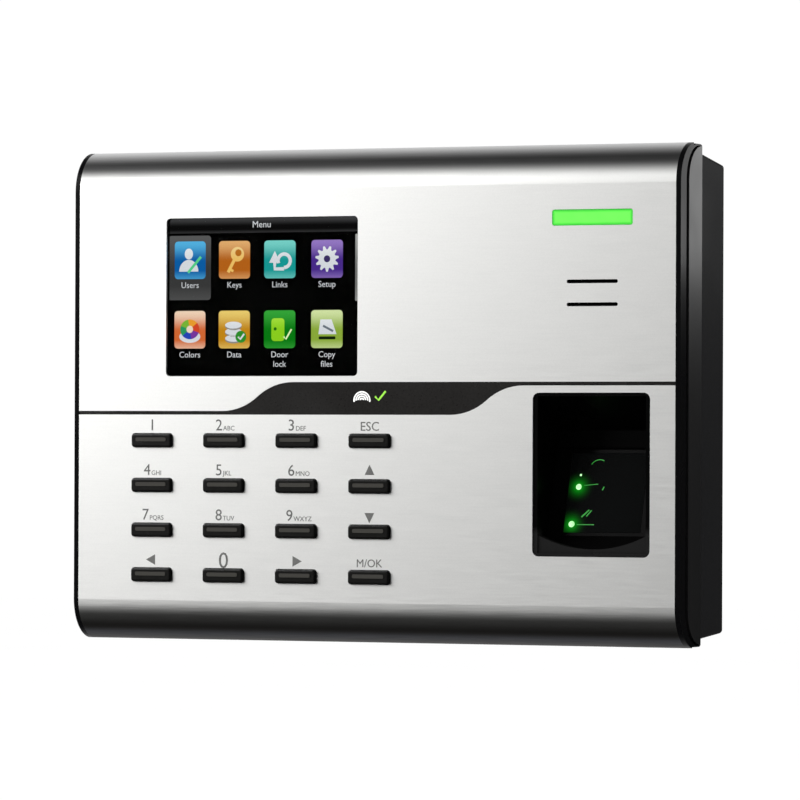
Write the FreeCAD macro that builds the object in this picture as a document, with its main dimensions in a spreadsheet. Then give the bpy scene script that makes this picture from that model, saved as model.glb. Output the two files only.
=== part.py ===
import FreeCAD, Part
import math
import os
import re

import Sketcher

# Fingerprint scanner terminal on its wall plate, in millimetres.
# Frame: +Z up, the front looks along -Y, the wall is the plane Y = 0.
# The origin is the middle of the wall plate's rear face. A "depth" is
# measured back from the front plane, so Y = depth - body_depth.

doc = FreeCAD.newDocument("FingerprintTerminal")

DRIVING_SIZES = {
    # overall
    "body_width": 179.1,
    "body_height": 134.2,
    "body_depth": 37.0,
    # front frame and its two bent sheet panels
    "cheek_width": 1.4,
    "roll_radius": 11.0,
    "sheet": 0.8,
    "sheet_reach": 9.2,
    "notch_width": 1.0,
    "band_drop": 0.4,
    "frame_wall": 2.2,
    "frame_depth": 14.5,
    "cheek_depth": 4.0,
    "groove_width": 2.5,
    "groove_sink": 1.25,
    "side_wall": 4.65,
    "wing_seat": 2.65,
    "wing_radius": 9.3,
    "wing_drop": 0.8,
    "wing_inset": 0.25,
    "joint_gap": 0.1,
    # middle frame and rear housing
    "middle_depth": 16.0,
    "ring_wall": 2.4,
    "housing_inset": 1.8,
    "housing_wall": 2.2,
    "housing_corner": 1.1,
    "hollow_corner": 0.7,
    "housing_bevel": 0.4,
    "side_taper": 0.1,
    "top_taper": 3.0,
    "base_taper": 1.5,
    "rim_gap": 0.4,
    "back_wall": 2.0,
    "tongue_wall": 1.2,
    "tongue_reach": 1.3,
    # screen
    "screen_x": -32.74,
    "screen_z": 26.73,
    "screen_width": 57.6,
    "screen_height": 43.2,
    "screen_corner": 1.2,
    "window_thick": 0.8,
    "window_lap": 1.4,
    "lcd_width": 69.2,
    "lcd_height": 50.4,
    "lcd_thick": 3.0,
    "lcd_front": 2.2,
    "bracket_thick": 1.0,
    "bracket_ear": 5.0,
    # fingerprint window and its well
    "finger_x": 64.2,
    "finger_z": -21.2,
    "finger_width": 33.6,
    "finger_height": 43.56,
    "finger_corner": 1.8,
    "well_wall": 1.3,
    "well_depth": 17.0,
    "flange_lap": 2.0,
    "flange_thick": 1.2,
    "platen_size": 22.0,
    "platen_tilt": 17.0,
    "platen_depth": 10.9,
    "platen_z": -26.0,
    "prism_thick": 8.0,
    "lip_depth": 2.6,
    "lip_sag": 3.7,
    "sensor_back": 27.2,
    "sensor_board_thick": 1.2,
    "sensor_wall": 1.5,
    "ear_depth": 7.0,
    "ear_thick": 1.2,
    # indicator bar and speaker
    "bar_x": 64.35,
    "bar_z": 47.1,
    "bar_width": 23.1,
    "bar_height": 4.3,
    "bar_corner": 0.6,
    "slot_x": 64.4,
    "slot_z": 27.05,
    "slot_pitch": 6.1,
    "slot_width": 14.6,
    "slot_height": 1.0,
    "speaker_radius": 14.0,
    "speaker_thick": 5.5,
    # keypad
    "key_x": -65.6,
    "key_z": -12.4,
    "key_pitch_x": 21.8,
    "key_pitch_z": 12.25,
    "key_hole_width": 12.5,
    "key_hole_height": 4.0,
    "key_hole_corner": 0.9,
    "key_gap": 0.2,
    "key_proud": 1.1,
    "key_travel": 0.8,
    "key_flange": 1.0,
    "key_flange_thick": 0.8,
    "dome_height": 0.9,
    "mat_thick": 0.6,
    "pad_board_thick": 1.2,
    "pad_margin_x": 6.2,
    "pad_margin_z": 3.2,
    "pad_post_inset": 2.6,
    # black band between the panels
    "band_low": -5.35,
    "band_high": 3.5,
    "thin_line": 1.0,
    "left_curve_x": -44.4,
    "right_curve_x": 23.4,
    "curve_length": 21.3,
    "band_sink": 0.15,
    # main board
    "board_depth": 15.4,
    "board_thick": 1.6,
    "board_left": -76.0,
    "board_right": 42.0,
    "board_rise": 14.1,
    "board_low": "=board_rise - body_height / 2",
    "board_high": 47.0,
    "post_radius": 3.0,
    "board_inset": 4.0,
    "jack_x": -14.0,
    "jack_width": 16.0,
    "jack_length": 16.0,
    "jack_thick": 13.2,
    "block_x": 14.0,
    "block_width": 28.0,
    "usb_x": -45.0,
    "usb_width": 13.2,
    "usb_length": 15.0,
    "usb_thick": 6.0,
    "battery_x": -45.0,
    "battery_z": 18.0,
    "battery_width": 38.0,
    "battery_height": 36.0,
    "battery_thick": 6.4,
    "tamper_x": 30.0,
    "tamper_z": 24.0,
    "tamper_radius": 2.0,
    "tamper_travel": 1.0,
    # fasteners
    "screw_shank": 1.5,
    "screw_head": 2.75,
    "screw_head_thick": 2.0,
    "screw_gap": 0.1,
    "case_screw_length": 14.0,
    "small_shank": 1.15,
    "small_head": 2.2,
    "small_head_thick": 1.5,
    "case_post_inset": 9.6,
    "case_post_x": "=body_width / 2 - case_post_inset",
    "case_post_z": "=body_height / 2 - case_post_inset",
    "case_middle_x": 20.0,
    "case_post_radius": 4.0,
    "frame_post_radius": 3.2,
    "post_meet": 20.0,
    # wall plate
    "plate_width": 150.0,
    "plate_height": 92.0,
    "plate_thick": 1.5,
    "plate_gap": 3.0,
    "bolt_span_x": 100.0,
    "bolt_span_z": 60.0,
    "bolt_hole": 2.25,
    "cable_width": 52.0,
    "cable_top": -16.0,
    "cable_base": -38.0,
    "hook_x": 70.0,
    "hook_width": 7.0,
    "hook_stem": 3.0,
    "hook_tip": 4.0,
    "hook_high_z": 30.0,
    "hook_low_z": -24.0,
    "lift_travel": 6.0,
    "slide_gap": 0.3,
    "tongue_width": 16.0,
    "lock_y": 6.0,
    "lock_rise": 5.9,
    "lock_flange_z": "=lock_rise - body_height / 2",
}


def make_sheet():
    """Put every driving size in a spreadsheet cell with its own alias."""
    sheet = doc.addObject("Spreadsheet::Sheet", "Sizes")
    for row, (alias, number) in enumerate(DRIVING_SIZES.items(), start=1):
        sheet.set(f"A{row}", alias)
        sheet.set(f"B{row}", str(number))
        sheet.setAlias(f"B{row}", alias)
    doc.recompute()
    return sheet


SHEET = make_sheet()
WORD = re.compile(r"[a-z_][a-z0-9_]*")


def linked(text):
    """Write an expression over size names as one over the spreadsheet."""
    return WORD.sub(lambda m: f"Sizes.{m[0]}" if m[0] in DRIVING_SIZES else m[0], str(text))


def number(text):
    """The value that an expression over size names has now."""
    return float(SHEET.evalExpression(linked(text)))


def bind(thing, path, text):
    """Tie a property to the spreadsheet."""
    thing.setExpression(path, linked(text))


def about(centre, width):
    """The low and high ends of a span of this width about a centre."""
    return f"({centre}) - ({width}) / 2", f"({centre}) + ({width}) / 2"


def behind(front, thickness):
    """The two depths of a layer that starts at a depth and runs back."""
    return f"{front}", f"({front}) + ({thickness})"


# ---------------------------------------------------------------- primitives

def block(name, x, depth, z):
    """A box between pairs of x, depth and z."""
    box = doc.addObject("Part::Box", name)
    bind(box, "Length", f"({x[1]}) - ({x[0]})")
    bind(box, "Width", f"({depth[1]}) - ({depth[0]})")
    bind(box, "Height", f"({z[1]}) - ({z[0]})")
    bind(box, "Placement.Base.x", x[0])
    bind(box, "Placement.Base.y", f"({depth[0]}) - body_depth")
    bind(box, "Placement.Base.z", z[0])
    return box


def rod(name, radius, x, depth, z):
    """A cylinder along Y between two depths."""
    pin = doc.addObject("Part::Cylinder", name)
    pin.Placement.Rotation = FreeCAD.Rotation(FreeCAD.Vector(1, 0, 0), -90)
    bind(pin, "Radius", radius)
    bind(pin, "Height", f"({depth[1]}) - ({depth[0]})")
    bind(pin, "Placement.Base.x", x)
    bind(pin, "Placement.Base.y", f"({depth[0]}) - body_depth")
    bind(pin, "Placement.Base.z", z)
    return pin


def upright(name, radius, x, depth, z):
    """A cylinder along Z between two heights, its axis at one depth."""
    pin = doc.addObject("Part::Cylinder", name)
    bind(pin, "Radius", radius)
    bind(pin, "Height", f"({z[1]}) - ({z[0]})")
    bind(pin, "Placement.Base.x", x)
    bind(pin, "Placement.Base.y", f"({depth}) - body_depth")
    bind(pin, "Placement.Base.z", z[0])
    return pin


def fuse(name, pieces):
    """Join pieces into one solid."""
    joined = doc.addObject("Part::MultiFuse", name)
    joined.Shapes = pieces
    joined.Refine = True
    return joined


def group(name, pieces):
    """Keep several separate solids as one sub-part."""
    bundle = doc.addObject("Part::Compound", name)
    bundle.Links = pieces
    return bundle


def cut(name, base, tools):
    """Take tools away from a base."""
    tool = tools[0] if len(tools) == 1 else fuse(f"{name}_tools", tools)
    result = doc.addObject("Part::Cut", name)
    result.Base = base
    result.Tool = tool
    result.Refine = True
    return result


# ------------------------------------------------------------------ sketches

def sketch_on(body, name, role, offset):
    """A sketch on one of the body's origin planes, moved along its normal."""
    sketch = body.newObject("Sketcher::SketchObject", name)
    plane = next(item for item in body.Origin.OriginFeatures if item.Role == role)
    sketch.AttachmentSupport = [(plane, "")]
    sketch.MapMode = "FlatFace"
    bind(sketch, "AttachmentOffset.Base.z", offset)
    return sketch


def front_sketch(body, name, depth):
    """A sketch that looks at the front, at a depth; its axes are X and Z."""
    return sketch_on(body, name, "XZ_Plane", f"body_depth - ({depth})")


def side_sketch(body, name, x):
    """A sketch seen from the side, at an x; its axes are Y and Z."""
    return sketch_on(body, name, "YZ_Plane", x)


def at_depths(depth):
    """A pair of depths as a pair of Y places."""
    return tuple(f"({item}) - body_depth" for item in depth)


def hold(sketch, kind, name, text, *places):
    """Add a constraint that is tied to the spreadsheet."""
    index = sketch.addConstraint(Sketcher.Constraint(kind, *places, number(text)))
    sketch.renameConstraint(index, name)
    bind(sketch, f"Constraints.{name}", text)


def rectangle(sketch, tag, across, up, radius=None, corners="abcd"):
    """A rectangle between two pairs of values, with chosen corners rounded.

    Corner a is low-low, b high-low, c high-high and d low-high.
    """
    low_x, high_x = number(across[0]), number(across[1])
    low_y, high_y = number(up[0]), number(up[1])
    bend = number(radius) if radius else 0.0
    spots = {"a": (low_x, low_y), "b": (high_x, low_y), "c": (high_x, high_y), "d": (low_x, high_y)}
    inward = {"a": (1, 1), "b": (-1, 1), "c": (-1, -1), "d": (1, -1)}
    start_angle = {"a": math.pi, "b": 1.5 * math.pi, "c": 0.0, "d": 0.5 * math.pi}
    order = "abcd"

    def point(x, y):
        return FreeCAD.Vector(x, y, 0)

    def trimmed(corner, along):
        shift = bend if corner in corners and radius else 0.0
        x, y = spots[corner]
        return point(x + inward[corner][0] * shift * along[0], y + inward[corner][1] * shift * along[1])

    sides = {}
    for place, corner in enumerate(order):
        following = order[(place + 1) % 4]
        along = (1, 0) if place % 2 == 0 else (0, 1)
        line = Part.LineSegment(trimmed(corner, along), trimmed(following, along))
        sides[corner] = sketch.addGeometry(line, False)
        kind = "Horizontal" if place % 2 == 0 else "Vertical"
        sketch.addConstraint(Sketcher.Constraint(kind, sides[corner]))
    first_arc = None
    for place, corner in enumerate(order):
        before, after = sides[order[place - 1]], sides[corner]
        if radius and corner in corners:
            x, y = spots[corner]
            centre = point(x + inward[corner][0] * bend, y + inward[corner][1] * bend)
            circle = Part.Circle(centre, FreeCAD.Vector(0, 0, 1), bend)
            begin = start_angle[corner]
            arc = sketch.addGeometry(Part.ArcOfCircle(circle, begin, begin + math.pi / 2), False)
            sketch.addConstraint(Sketcher.Constraint("Tangent", before, 2, arc, 1))
            sketch.addConstraint(Sketcher.Constraint("Tangent", arc, 2, after, 1))
            if first_arc is None:
                hold(sketch, "Radius", f"{tag}_radius", radius, arc)
                first_arc = arc
            else:
                sketch.addConstraint(Sketcher.Constraint("Equal", first_arc, arc))
        else:
            sketch.addConstraint(Sketcher.Constraint("Coincident", before, 2, after, 1))
    hold(sketch, "DistanceX", f"{tag}_left", across[0], -1, 1, sides["d"], 1)
    hold(sketch, "DistanceX", f"{tag}_right", across[1], -1, 1, sides["b"], 1)
    hold(sketch, "DistanceY", f"{tag}_bottom", up[0], -1, 1, sides["a"], 1)
    hold(sketch, "DistanceY", f"{tag}_top", up[1], -1, 1, sides["c"], 1)


def pad(body, sketch, name, length, reverse=False, middle=False):
    """Add material to a body."""
    feature = body.newObject("PartDesign::Pad", name)
    feature.Profile = sketch
    bind(feature, "Length", length)
    feature.Reversed = reverse
    if middle:
        feature.SideType = "Symmetric"
    sketch.Visibility = False
    doc.recompute()
    return feature


def pocket(body, sketch, name, length, reverse=False, middle=False):
    """Take material from a body, and check that it did."""
    before = body.Shape.Volume
    feature = body.newObject("PartDesign::Pocket", name)
    feature.Profile = sketch
    bind(feature, "Length", length)
    feature.Reversed = reverse
    if middle:
        feature.SideType = "Symmetric"
    doc.recompute()
    if not body.Shape.Volume < before - 1e-6:
        raise ValueError(f"{body.Name}.{name} cut nothing")
    return feature


def soften(body, name, radius, test):
    """Round the edges of a body whose ends both pass a test."""
    tip = body.Tip
    names = [
        f"Edge{place}"
        for place, edge in enumerate(tip.Shape.Edges, start=1)
        if all(test(vertex.Point) for vertex in edge.Vertexes)
    ]
    feature = body.newObject("PartDesign::Fillet", name)
    feature.Base = (tip, names)
    bind(feature, "Radius", radius)
    doc.recompute()
    return feature


def near(value, text):
    """True where a coordinate sits at the place that an expression gives."""
    return abs(value - number(text)) < 1e-3


# ------------------------------------------------------- shared pieces of size

HALF_WIDTH = "body_width / 2"
HALF_HEIGHT = "body_height / 2"
FACE_HALF = "(body_width / 2 - cheek_width)"
CORE_HALF = "(body_height / 2 - sheet)"
WALL_BACK = "(sheet + frame_wall)"
CAVITY_X = "(body_width / 2 - side_wall)"
CAVITY_Z = "(body_height / 2 - sheet - frame_wall)"
SEAT_X = "(body_width / 2 - wing_seat)"
RING_Z = "(body_height / 2 - band_drop)"
SHELL_X = "(body_width / 2 - housing_inset)"
SHELL_Z = "(body_height / 2 - housing_inset)"
HOUSING_BACK = "(body_depth - rim_gap)"
INNER_BACK = "(body_depth - plate_thick - plate_gap - back_wall)"
BOARD_BACK = "(board_depth + board_thick)"
MAT_FRONT = "(sheet + frame_wall + key_flange_thick + key_travel + dome_height + 1.1)"
PAD_BOARD_FRONT = f"({MAT_FRONT} + mat_thick)"
PAD_BOARD_BACK = f"({PAD_BOARD_FRONT} + pad_board_thick)"
PLATE_FRONT = "(body_depth - plate_thick)"
LIP_RADIUS = "(((finger_width / 2 - well_wall) ^ 2 + lip_sag ^ 2) / (2 * lip_sag))"
THROUGH = "body_depth * 3"
KEY_COLUMNS = 4
KEY_ROWS = 4


def mirrored(half):
    """A pair that is symmetric about zero."""
    return f"-({half})", f"{half}"


# --------------------------------------------------------------- front panels

def ogee(start, end):
    """Two equal tangent arcs that rise from start to end, both level there."""
    half_x = (end.x - start.x) / 2
    half_y = (end.y - start.y) / 2
    radius = (half_x ** 2 + half_y ** 2) / (2 * half_y)
    middle = (start + end) * 0.5
    sweep = math.asin(half_x / radius)
    up = FreeCAD.Vector(0, 0, 1)
    low_circle = Part.Circle(start + FreeCAD.Vector(0, radius, 0), up, radius)
    high_circle = Part.Circle(end - FreeCAD.Vector(0, radius, 0), up, radius)
    low = Part.ArcOfCircle(low_circle, -math.pi / 2, -math.pi / 2 + sweep)
    high = Part.ArcOfCircle(high_circle, math.pi / 2, math.pi / 2 + sweep)
    assert (low.EndPoint - middle).Length < 1e-6
    return low, high


def parting_curves():
    """The band's upper and lower edges, each a line, an ogee and a line."""
    reach = number("body_width")
    low, high, thin = number("band_low"), number("band_high"), number("thin_line")
    length = number("curve_length")
    curves = []
    for rise_x, start_y, end_y in (
        (number("left_curve_x"), low + thin, high),
        (number("right_curve_x"), low, high - thin),
    ):
        start = FreeCAD.Vector(rise_x, start_y, 0)
        end = FreeCAD.Vector(rise_x + length, end_y, 0)
        first = Part.LineSegment(FreeCAD.Vector(-reach, start_y, 0), start)
        last = Part.LineSegment(end, FreeCAD.Vector(reach, end_y, 0))
        curves.append([first, *ogee(start, end), last])
    return curves


def closed_sketch(sketch, pieces):
    """Draw pieces that already meet end to end, and tie their shared ends."""
    indices = sketch.addGeometry(pieces, False)
    ends = []
    for index in indices:
        for position in (1, 2):
            ends.append((sketch.getPoint(index, position), index, position))
    while ends:
        spot, index, position = ends.pop()
        match = min(range(len(ends)), key=lambda place: (ends[place][0] - spot).Length)
        _, other, other_position = ends.pop(match)
        tie = Sketcher.Constraint("Coincident", index, position, other, other_position)
        sketch.addConstraint(tie)


def beyond(sketch, curve, height):
    """Close a parting curve with a rectangle that reaches to a height."""
    left = curve[0].StartPoint
    right = curve[-1].EndPoint
    low_left = FreeCAD.Vector(left.x, height, 0)
    low_right = FreeCAD.Vector(right.x, height, 0)
    frame = [
        Part.LineSegment(right, low_right),
        Part.LineSegment(low_right, low_left),
        Part.LineSegment(low_left, left),
    ]
    closed_sketch(sketch, curve + frame)


def bent_sheet(body):
    """A sheet over the whole front, its top and bottom edges rolled back."""
    outer = side_sketch(body, "outer_profile", "0")
    rectangle(outer, "outer", at_depths(("0", "frame_depth")), mirrored(HALF_HEIGHT), "roll_radius", "ad")
    pad(body, outer, "sheet_pad", f"2 * {FACE_HALF}", middle=True)
    inner = side_sketch(body, "inner_profile", "0")
    depth = at_depths(("sheet", "frame_depth + 5"))
    rectangle(inner, "inner", depth, mirrored(CORE_HALF), "roll_radius - sheet", "ad")
    pocket(body, inner, "sheet_hollow", "body_width", middle=True)
    rear = front_sketch(body, "rear_trim", "sheet_reach")
    rectangle(rear, "rear", mirrored("body_width"), mirrored("body_height"))
    pocket(body, rear, "rear_trim_cut", "body_depth")


def panel(label, curve, far_height):
    """One of the two brushed sheets: the bent sheet less the other's half."""
    body = doc.addObject("PartDesign::Body", label)
    bent_sheet(body)
    other = front_sketch(body, "other_half", "-1")
    beyond(other, curve, far_height)
    pocket(body, other, "other_half_cut", THROUGH)
    return body


def upper_panel(curves):
    """The upper sheet, with the screen, indicator and speaker openings."""
    body = panel("upper_panel", curves[0], -number("body_height"))
    holes = front_sketch(body, "openings", "-1")
    across, up = about("screen_x", "screen_width"), about("screen_z", "screen_height")
    rectangle(holes, "screen", across, up, "screen_corner")
    rectangle(holes, "bar", about("bar_x", "bar_width"), about("bar_z", "bar_height"), "bar_corner")
    speaker_slots(holes)
    pocket(body, holes, "openings_cut", "5")
    return body


def speaker_slots(sketch):
    """Two slots with round ends in front of the speaker."""
    for place, side in (("low", "-"), ("high", "+")):
        middle = f"slot_z {side} slot_pitch / 2"
        across, up = about("slot_x", "slot_width"), about(middle, "slot_height")
        rectangle(sketch, f"slot_{place}", across, up, "slot_height * 0.45")


def lower_panel(curves):
    """The lower sheet, with the fingerprint window and sixteen key holes."""
    body = panel("lower_panel", curves[1], number("body_height"))
    window = front_sketch(body, "finger_opening", "-1")
    across, up = about("finger_x", "finger_width"), about("finger_z", "finger_height")
    rectangle(window, "finger", across, up, "finger_corner")
    pocket(body, window, "finger_cut", "5")
    key_holes(body, "5")
    return body


def key_holes(body, length):
    """A grid of key openings, patterned from the first one."""
    hole = front_sketch(body, "key_opening", "-1")
    across = about("key_x", "key_hole_width")
    up = about("key_z", "key_hole_height")
    rectangle(hole, "key", across, up, "key_hole_corner")
    first = pocket(body, hole, "key_cut", length)
    grid = body.newObject("PartDesign::LinearPattern", "key_grid")
    grid.Originals = [first]
    grid.Direction = (hole, ["H_Axis"])
    grid.Direction2 = (hole, ["V_Axis"])
    grid.Reversed2 = True
    bind(grid, "Length", f"key_pitch_x * {KEY_COLUMNS - 1}")
    bind(grid, "Length2", f"key_pitch_z * {KEY_ROWS - 1}")
    grid.Occurrences = KEY_COLUMNS
    grid.Occurrences2 = KEY_ROWS
    body.Tip = grid
    doc.recompute()


def trim_band(curves):
    """The black band that fills the space between the two sheets."""
    body = doc.addObject("PartDesign::Body", "trim_band")
    strip = front_sketch(body, "strip", "sheet")
    rectangle(strip, "strip", mirrored(FACE_HALF), ("band_low - 1", "band_high + 1"))
    pad(body, strip, "strip_pad", "sheet - band_sink")
    for name, curve, height in (("above", curves[0], number("body_height")),
                                ("below", curves[1], -number("body_height"))):
        outside = front_sketch(body, name, "-1")
        beyond(outside, curve, height)
        pocket(body, outside, f"{name}_cut", "5")
    return body


# ----------------------------------------------------------------- the casing

def front_frame():
    """Gloss black frame: cheeks, front wall with every opening, and posts."""
    body = doc.addObject("PartDesign::Body", "frame_body")
    core = side_sketch(body, "core_profile", "0")
    across = at_depths(("sheet", "frame_depth"))
    rectangle(core, "core", across, mirrored(CORE_HALF), "roll_radius - sheet", "ad")
    pad(body, core, "core_pad", "body_width", middle=True)
    for side, start in (("left", f"-{HALF_WIDTH}"), ("right", FACE_HALF)):
        cheek = side_sketch(body, f"{side}_cheek", start)
        across = at_depths(("0", "frame_depth"))
        rectangle(cheek, "cheek", across, mirrored(HALF_HEIGHT), "roll_radius", "ad")
        pad(body, cheek, f"{side}_cheek_pad", "cheek_width")
    faces = (("top", CORE_HALF, HALF_HEIGHT), ("base", f"-{HALF_HEIGHT} - 1", f"-{CORE_HALF}"))
    for side, low, high in faces:
        trim = side_sketch(body, f"{side}_trim", "0")
        edge = (low, f"{high} + 1") if side == "top" else (low, high)
        rectangle(trim, "trim", at_depths(("sheet_reach", "frame_depth + 1")), edge)
        pocket(body, trim, f"{side}_trim_cut", "body_width + 2", middle=True)
    band = side_sketch(body, "band", "0")
    across = at_depths(("sheet_reach + notch_width", "frame_depth"))
    rectangle(band, "band", across, mirrored(RING_Z))
    pad(body, band, "band_pad", "body_width", middle=True)
    cavity = side_sketch(body, "cavity", "0")
    bend = "roll_radius - sheet - frame_wall"
    across = at_depths((WALL_BACK, "frame_depth + 1"))
    rectangle(cavity, "cavity", across, mirrored(CAVITY_Z), bend, "ad")
    pocket(body, cavity, "cavity_cut", f"2 * {CAVITY_X}", middle=True)
    ends = (("left", f"-{HALF_WIDTH} - 1", True), ("right", f"{HALF_WIDTH} + 1", False))
    for side, start, backwards in ends:
        for name, front, sink in (
            ("groove", "cheek_depth", "groove_sink"),
            ("wing", "cheek_depth + groove_width", "wing_seat"),
        ):
            seat = side_sketch(body, f"{side}_{name}", start)
            across = at_depths((front, "frame_depth + wing_radius"))
            rectangle(seat, name, across, mirrored(f"{HALF_HEIGHT} - wing_drop"), "wing_radius", "ad")
            pocket(body, seat, f"{side}_{name}_cut", f"{sink} + 1", reverse=backwards)
    frame_openings(body)
    key_holes(body, f"{WALL_BACK} + 1.5")
    return frame_posts(body)


def frame_openings(body):
    """The openings in the frame's front wall, and the seats behind them."""
    seat = front_sketch(body, "window_seat", "0")
    across = about("screen_x", "screen_width + 2 * window_lap")
    up = about("screen_z", "screen_height + 2 * window_lap")
    rectangle(seat, "seat", across, up, "screen_corner")
    pocket(body, seat, "window_seat_cut", "sheet + window_thick")
    holes = front_sketch(body, "openings", "-1")
    across, up = about("screen_x", "screen_width"), about("screen_z", "screen_height")
    rectangle(holes, "screen", across, up, "screen_corner")
    rectangle(holes, "bar", about("bar_x", "bar_width"), about("bar_z", "bar_height"), "bar_corner")
    across, up = about("finger_x", "finger_width"), about("finger_z", "finger_height")
    rectangle(holes, "finger", across, up, "finger_corner")
    speaker_slots(holes)
    pocket(body, holes, "openings_cut", f"{WALL_BACK} + 1.5")
    lcd_seat = front_sketch(body, "lcd_seat", "frame_depth")
    across, up = about("screen_x", "lcd_width + 0.4"), about("screen_z", "lcd_height + 0.4")
    rectangle(lcd_seat, "lcd", across, up)
    pocket(body, lcd_seat, "lcd_seat_cut", "frame_depth - lcd_front", reverse=True)


def case_post_places():
    """Where the six case screws stand."""
    columns = ("-case_post_x", "case_middle_x", "case_post_x")
    return [(column, row) for column in columns for row in ("case_post_z", "-case_post_z")]


def lcd_post_places():
    """Where the four screws of the screen bracket stand."""
    reach_x = "(lcd_width / 2 + bracket_ear / 2 + 0.6)"
    reach_z = "(lcd_height / 2 - 5)"
    return [(f"screen_x {side} {reach_x}", f"screen_z {way} {reach_z}") for side in "+-" for way in "+-"]


def pad_board_span():
    """Left, right, low and high edges of the keypad board."""
    left = "key_x - key_hole_width / 2 - pad_margin_x"
    right = f"key_x + key_pitch_x * {KEY_COLUMNS - 1} + key_hole_width / 2 + pad_margin_x"
    low = f"key_z - key_pitch_z * {KEY_ROWS - 1} - key_hole_height / 2 - pad_margin_z"
    high = "key_z + key_hole_height / 2 + pad_margin_z"
    return left, right, low, high


def pad_post_places():
    """Where the four screws of the keypad board stand."""
    left, right, low, high = pad_board_span()
    columns = (f"{left} + pad_post_inset", f"{right} - pad_post_inset")
    rows = (f"{low} + pad_post_inset", f"{high} - pad_post_inset")
    return [(column, row) for column in columns for row in rows]


def sensor_post_places():
    """Where the four screws of the sensor well stand."""
    reach = "(finger_height / 2 + flange_lap + 2.6)"
    return [
        (f"finger_x {side} finger_width / 3", f"finger_z {way} {reach}")
        for side in "+-"
        for way in "+-"
    ]


def frame_posts(body):
    """Screw posts and the speaker's ring, moulded on the frame's inner face."""
    posts = [
        rod(f"frame_case_post_{place}", "frame_post_radius", x, (f"{WALL_BACK} - 0.2", "post_meet"), z)
        for place, (x, z) in enumerate(case_post_places())
    ]
    short = [
        (lcd_post_places(), "lcd_front + lcd_thick"),
        (pad_post_places(), PAD_BOARD_FRONT),
        (sensor_post_places(), "ear_depth"),
    ]
    bores = [
        rod(f"frame_case_bore_{place}", "screw_shank", x, ("post_meet - 9", "post_meet + 1"), z)
        for place, (x, z) in enumerate(case_post_places())
    ]
    for family, (places, back) in enumerate(short):
        for place, (x, z) in enumerate(places):
            depth = (f"{WALL_BACK} - 0.2", back)
            posts.append(rod(f"frame_post_{family}_{place}", "small_shank + 1.3", x, depth, z))
            depth = (f"{back} - 1.8", f"{back} + 1")
            bores.append(rod(f"frame_bore_{family}_{place}", "small_shank", x, depth, z))
    ring = cut(
        "speaker_ring",
        rod("speaker_ring_outer", "speaker_radius + 1.6", "slot_x", (f"{WALL_BACK} - 0.2", "6.5"), "slot_z"),
        [rod("speaker_ring_inner", "speaker_radius + 0.2", "slot_x", (WALL_BACK, "8"), "slot_z")],
    )
    solid = fuse("frame_with_posts", [body, ring, *posts])
    return cut("front_frame", solid, bores)


def middle_frame():
    """Satin ring between the frame and the housing, with a wing each side."""
    body = doc.addObject("PartDesign::Body", "middle_frame")
    ring = front_sketch(body, "ring", "middle_depth")
    rectangle(ring, "ring", mirrored(f"{HALF_WIDTH} - wing_inset"), mirrored(RING_Z), "0.6")
    pad(body, ring, "ring_pad", "middle_depth - frame_depth")
    opening = front_sketch(body, "ring_opening", "middle_depth + 1")
    rectangle(opening, "opening", mirrored(f"{SEAT_X} + joint_gap"), mirrored(f"{RING_Z} - ring_wall"))
    pocket(body, opening, "ring_opening_cut", "middle_depth", reverse=True)
    for side, start in (("left", f"-({HALF_WIDTH} - wing_inset)"), ("right", f"{SEAT_X} + joint_gap")):
        wing = side_sketch(body, f"{side}_wing", start)
        front = "cheek_depth + groove_width + joint_gap"
        across = at_depths((front, "middle_depth"))
        edge = f"{HALF_HEIGHT} - wing_drop - joint_gap"
        rectangle(wing, "wing", across, mirrored(edge), "wing_radius - joint_gap", "ad")
        pad(body, wing, f"{side}_wing_pad", "wing_seat - joint_gap - wing_inset")
    return body


def shell_outline(body, name, depth, inset="0", bend="housing_corner"):
    """The housing's outline at its front or back, less a wall."""
    sketch = front_sketch(body, name, depth)
    if "back" in name:
        across = mirrored(f"{SHELL_X} - side_taper - {inset}")
        up = (f"-({SHELL_Z} - base_taper - {inset})", f"{SHELL_Z} - top_taper - {inset}")
    else:
        across = mirrored(f"{SHELL_X} - {inset}")
        up = mirrored(f"{SHELL_Z} - {inset}")
    rectangle(sketch, "outline", across, up, bend)
    return sketch


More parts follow.
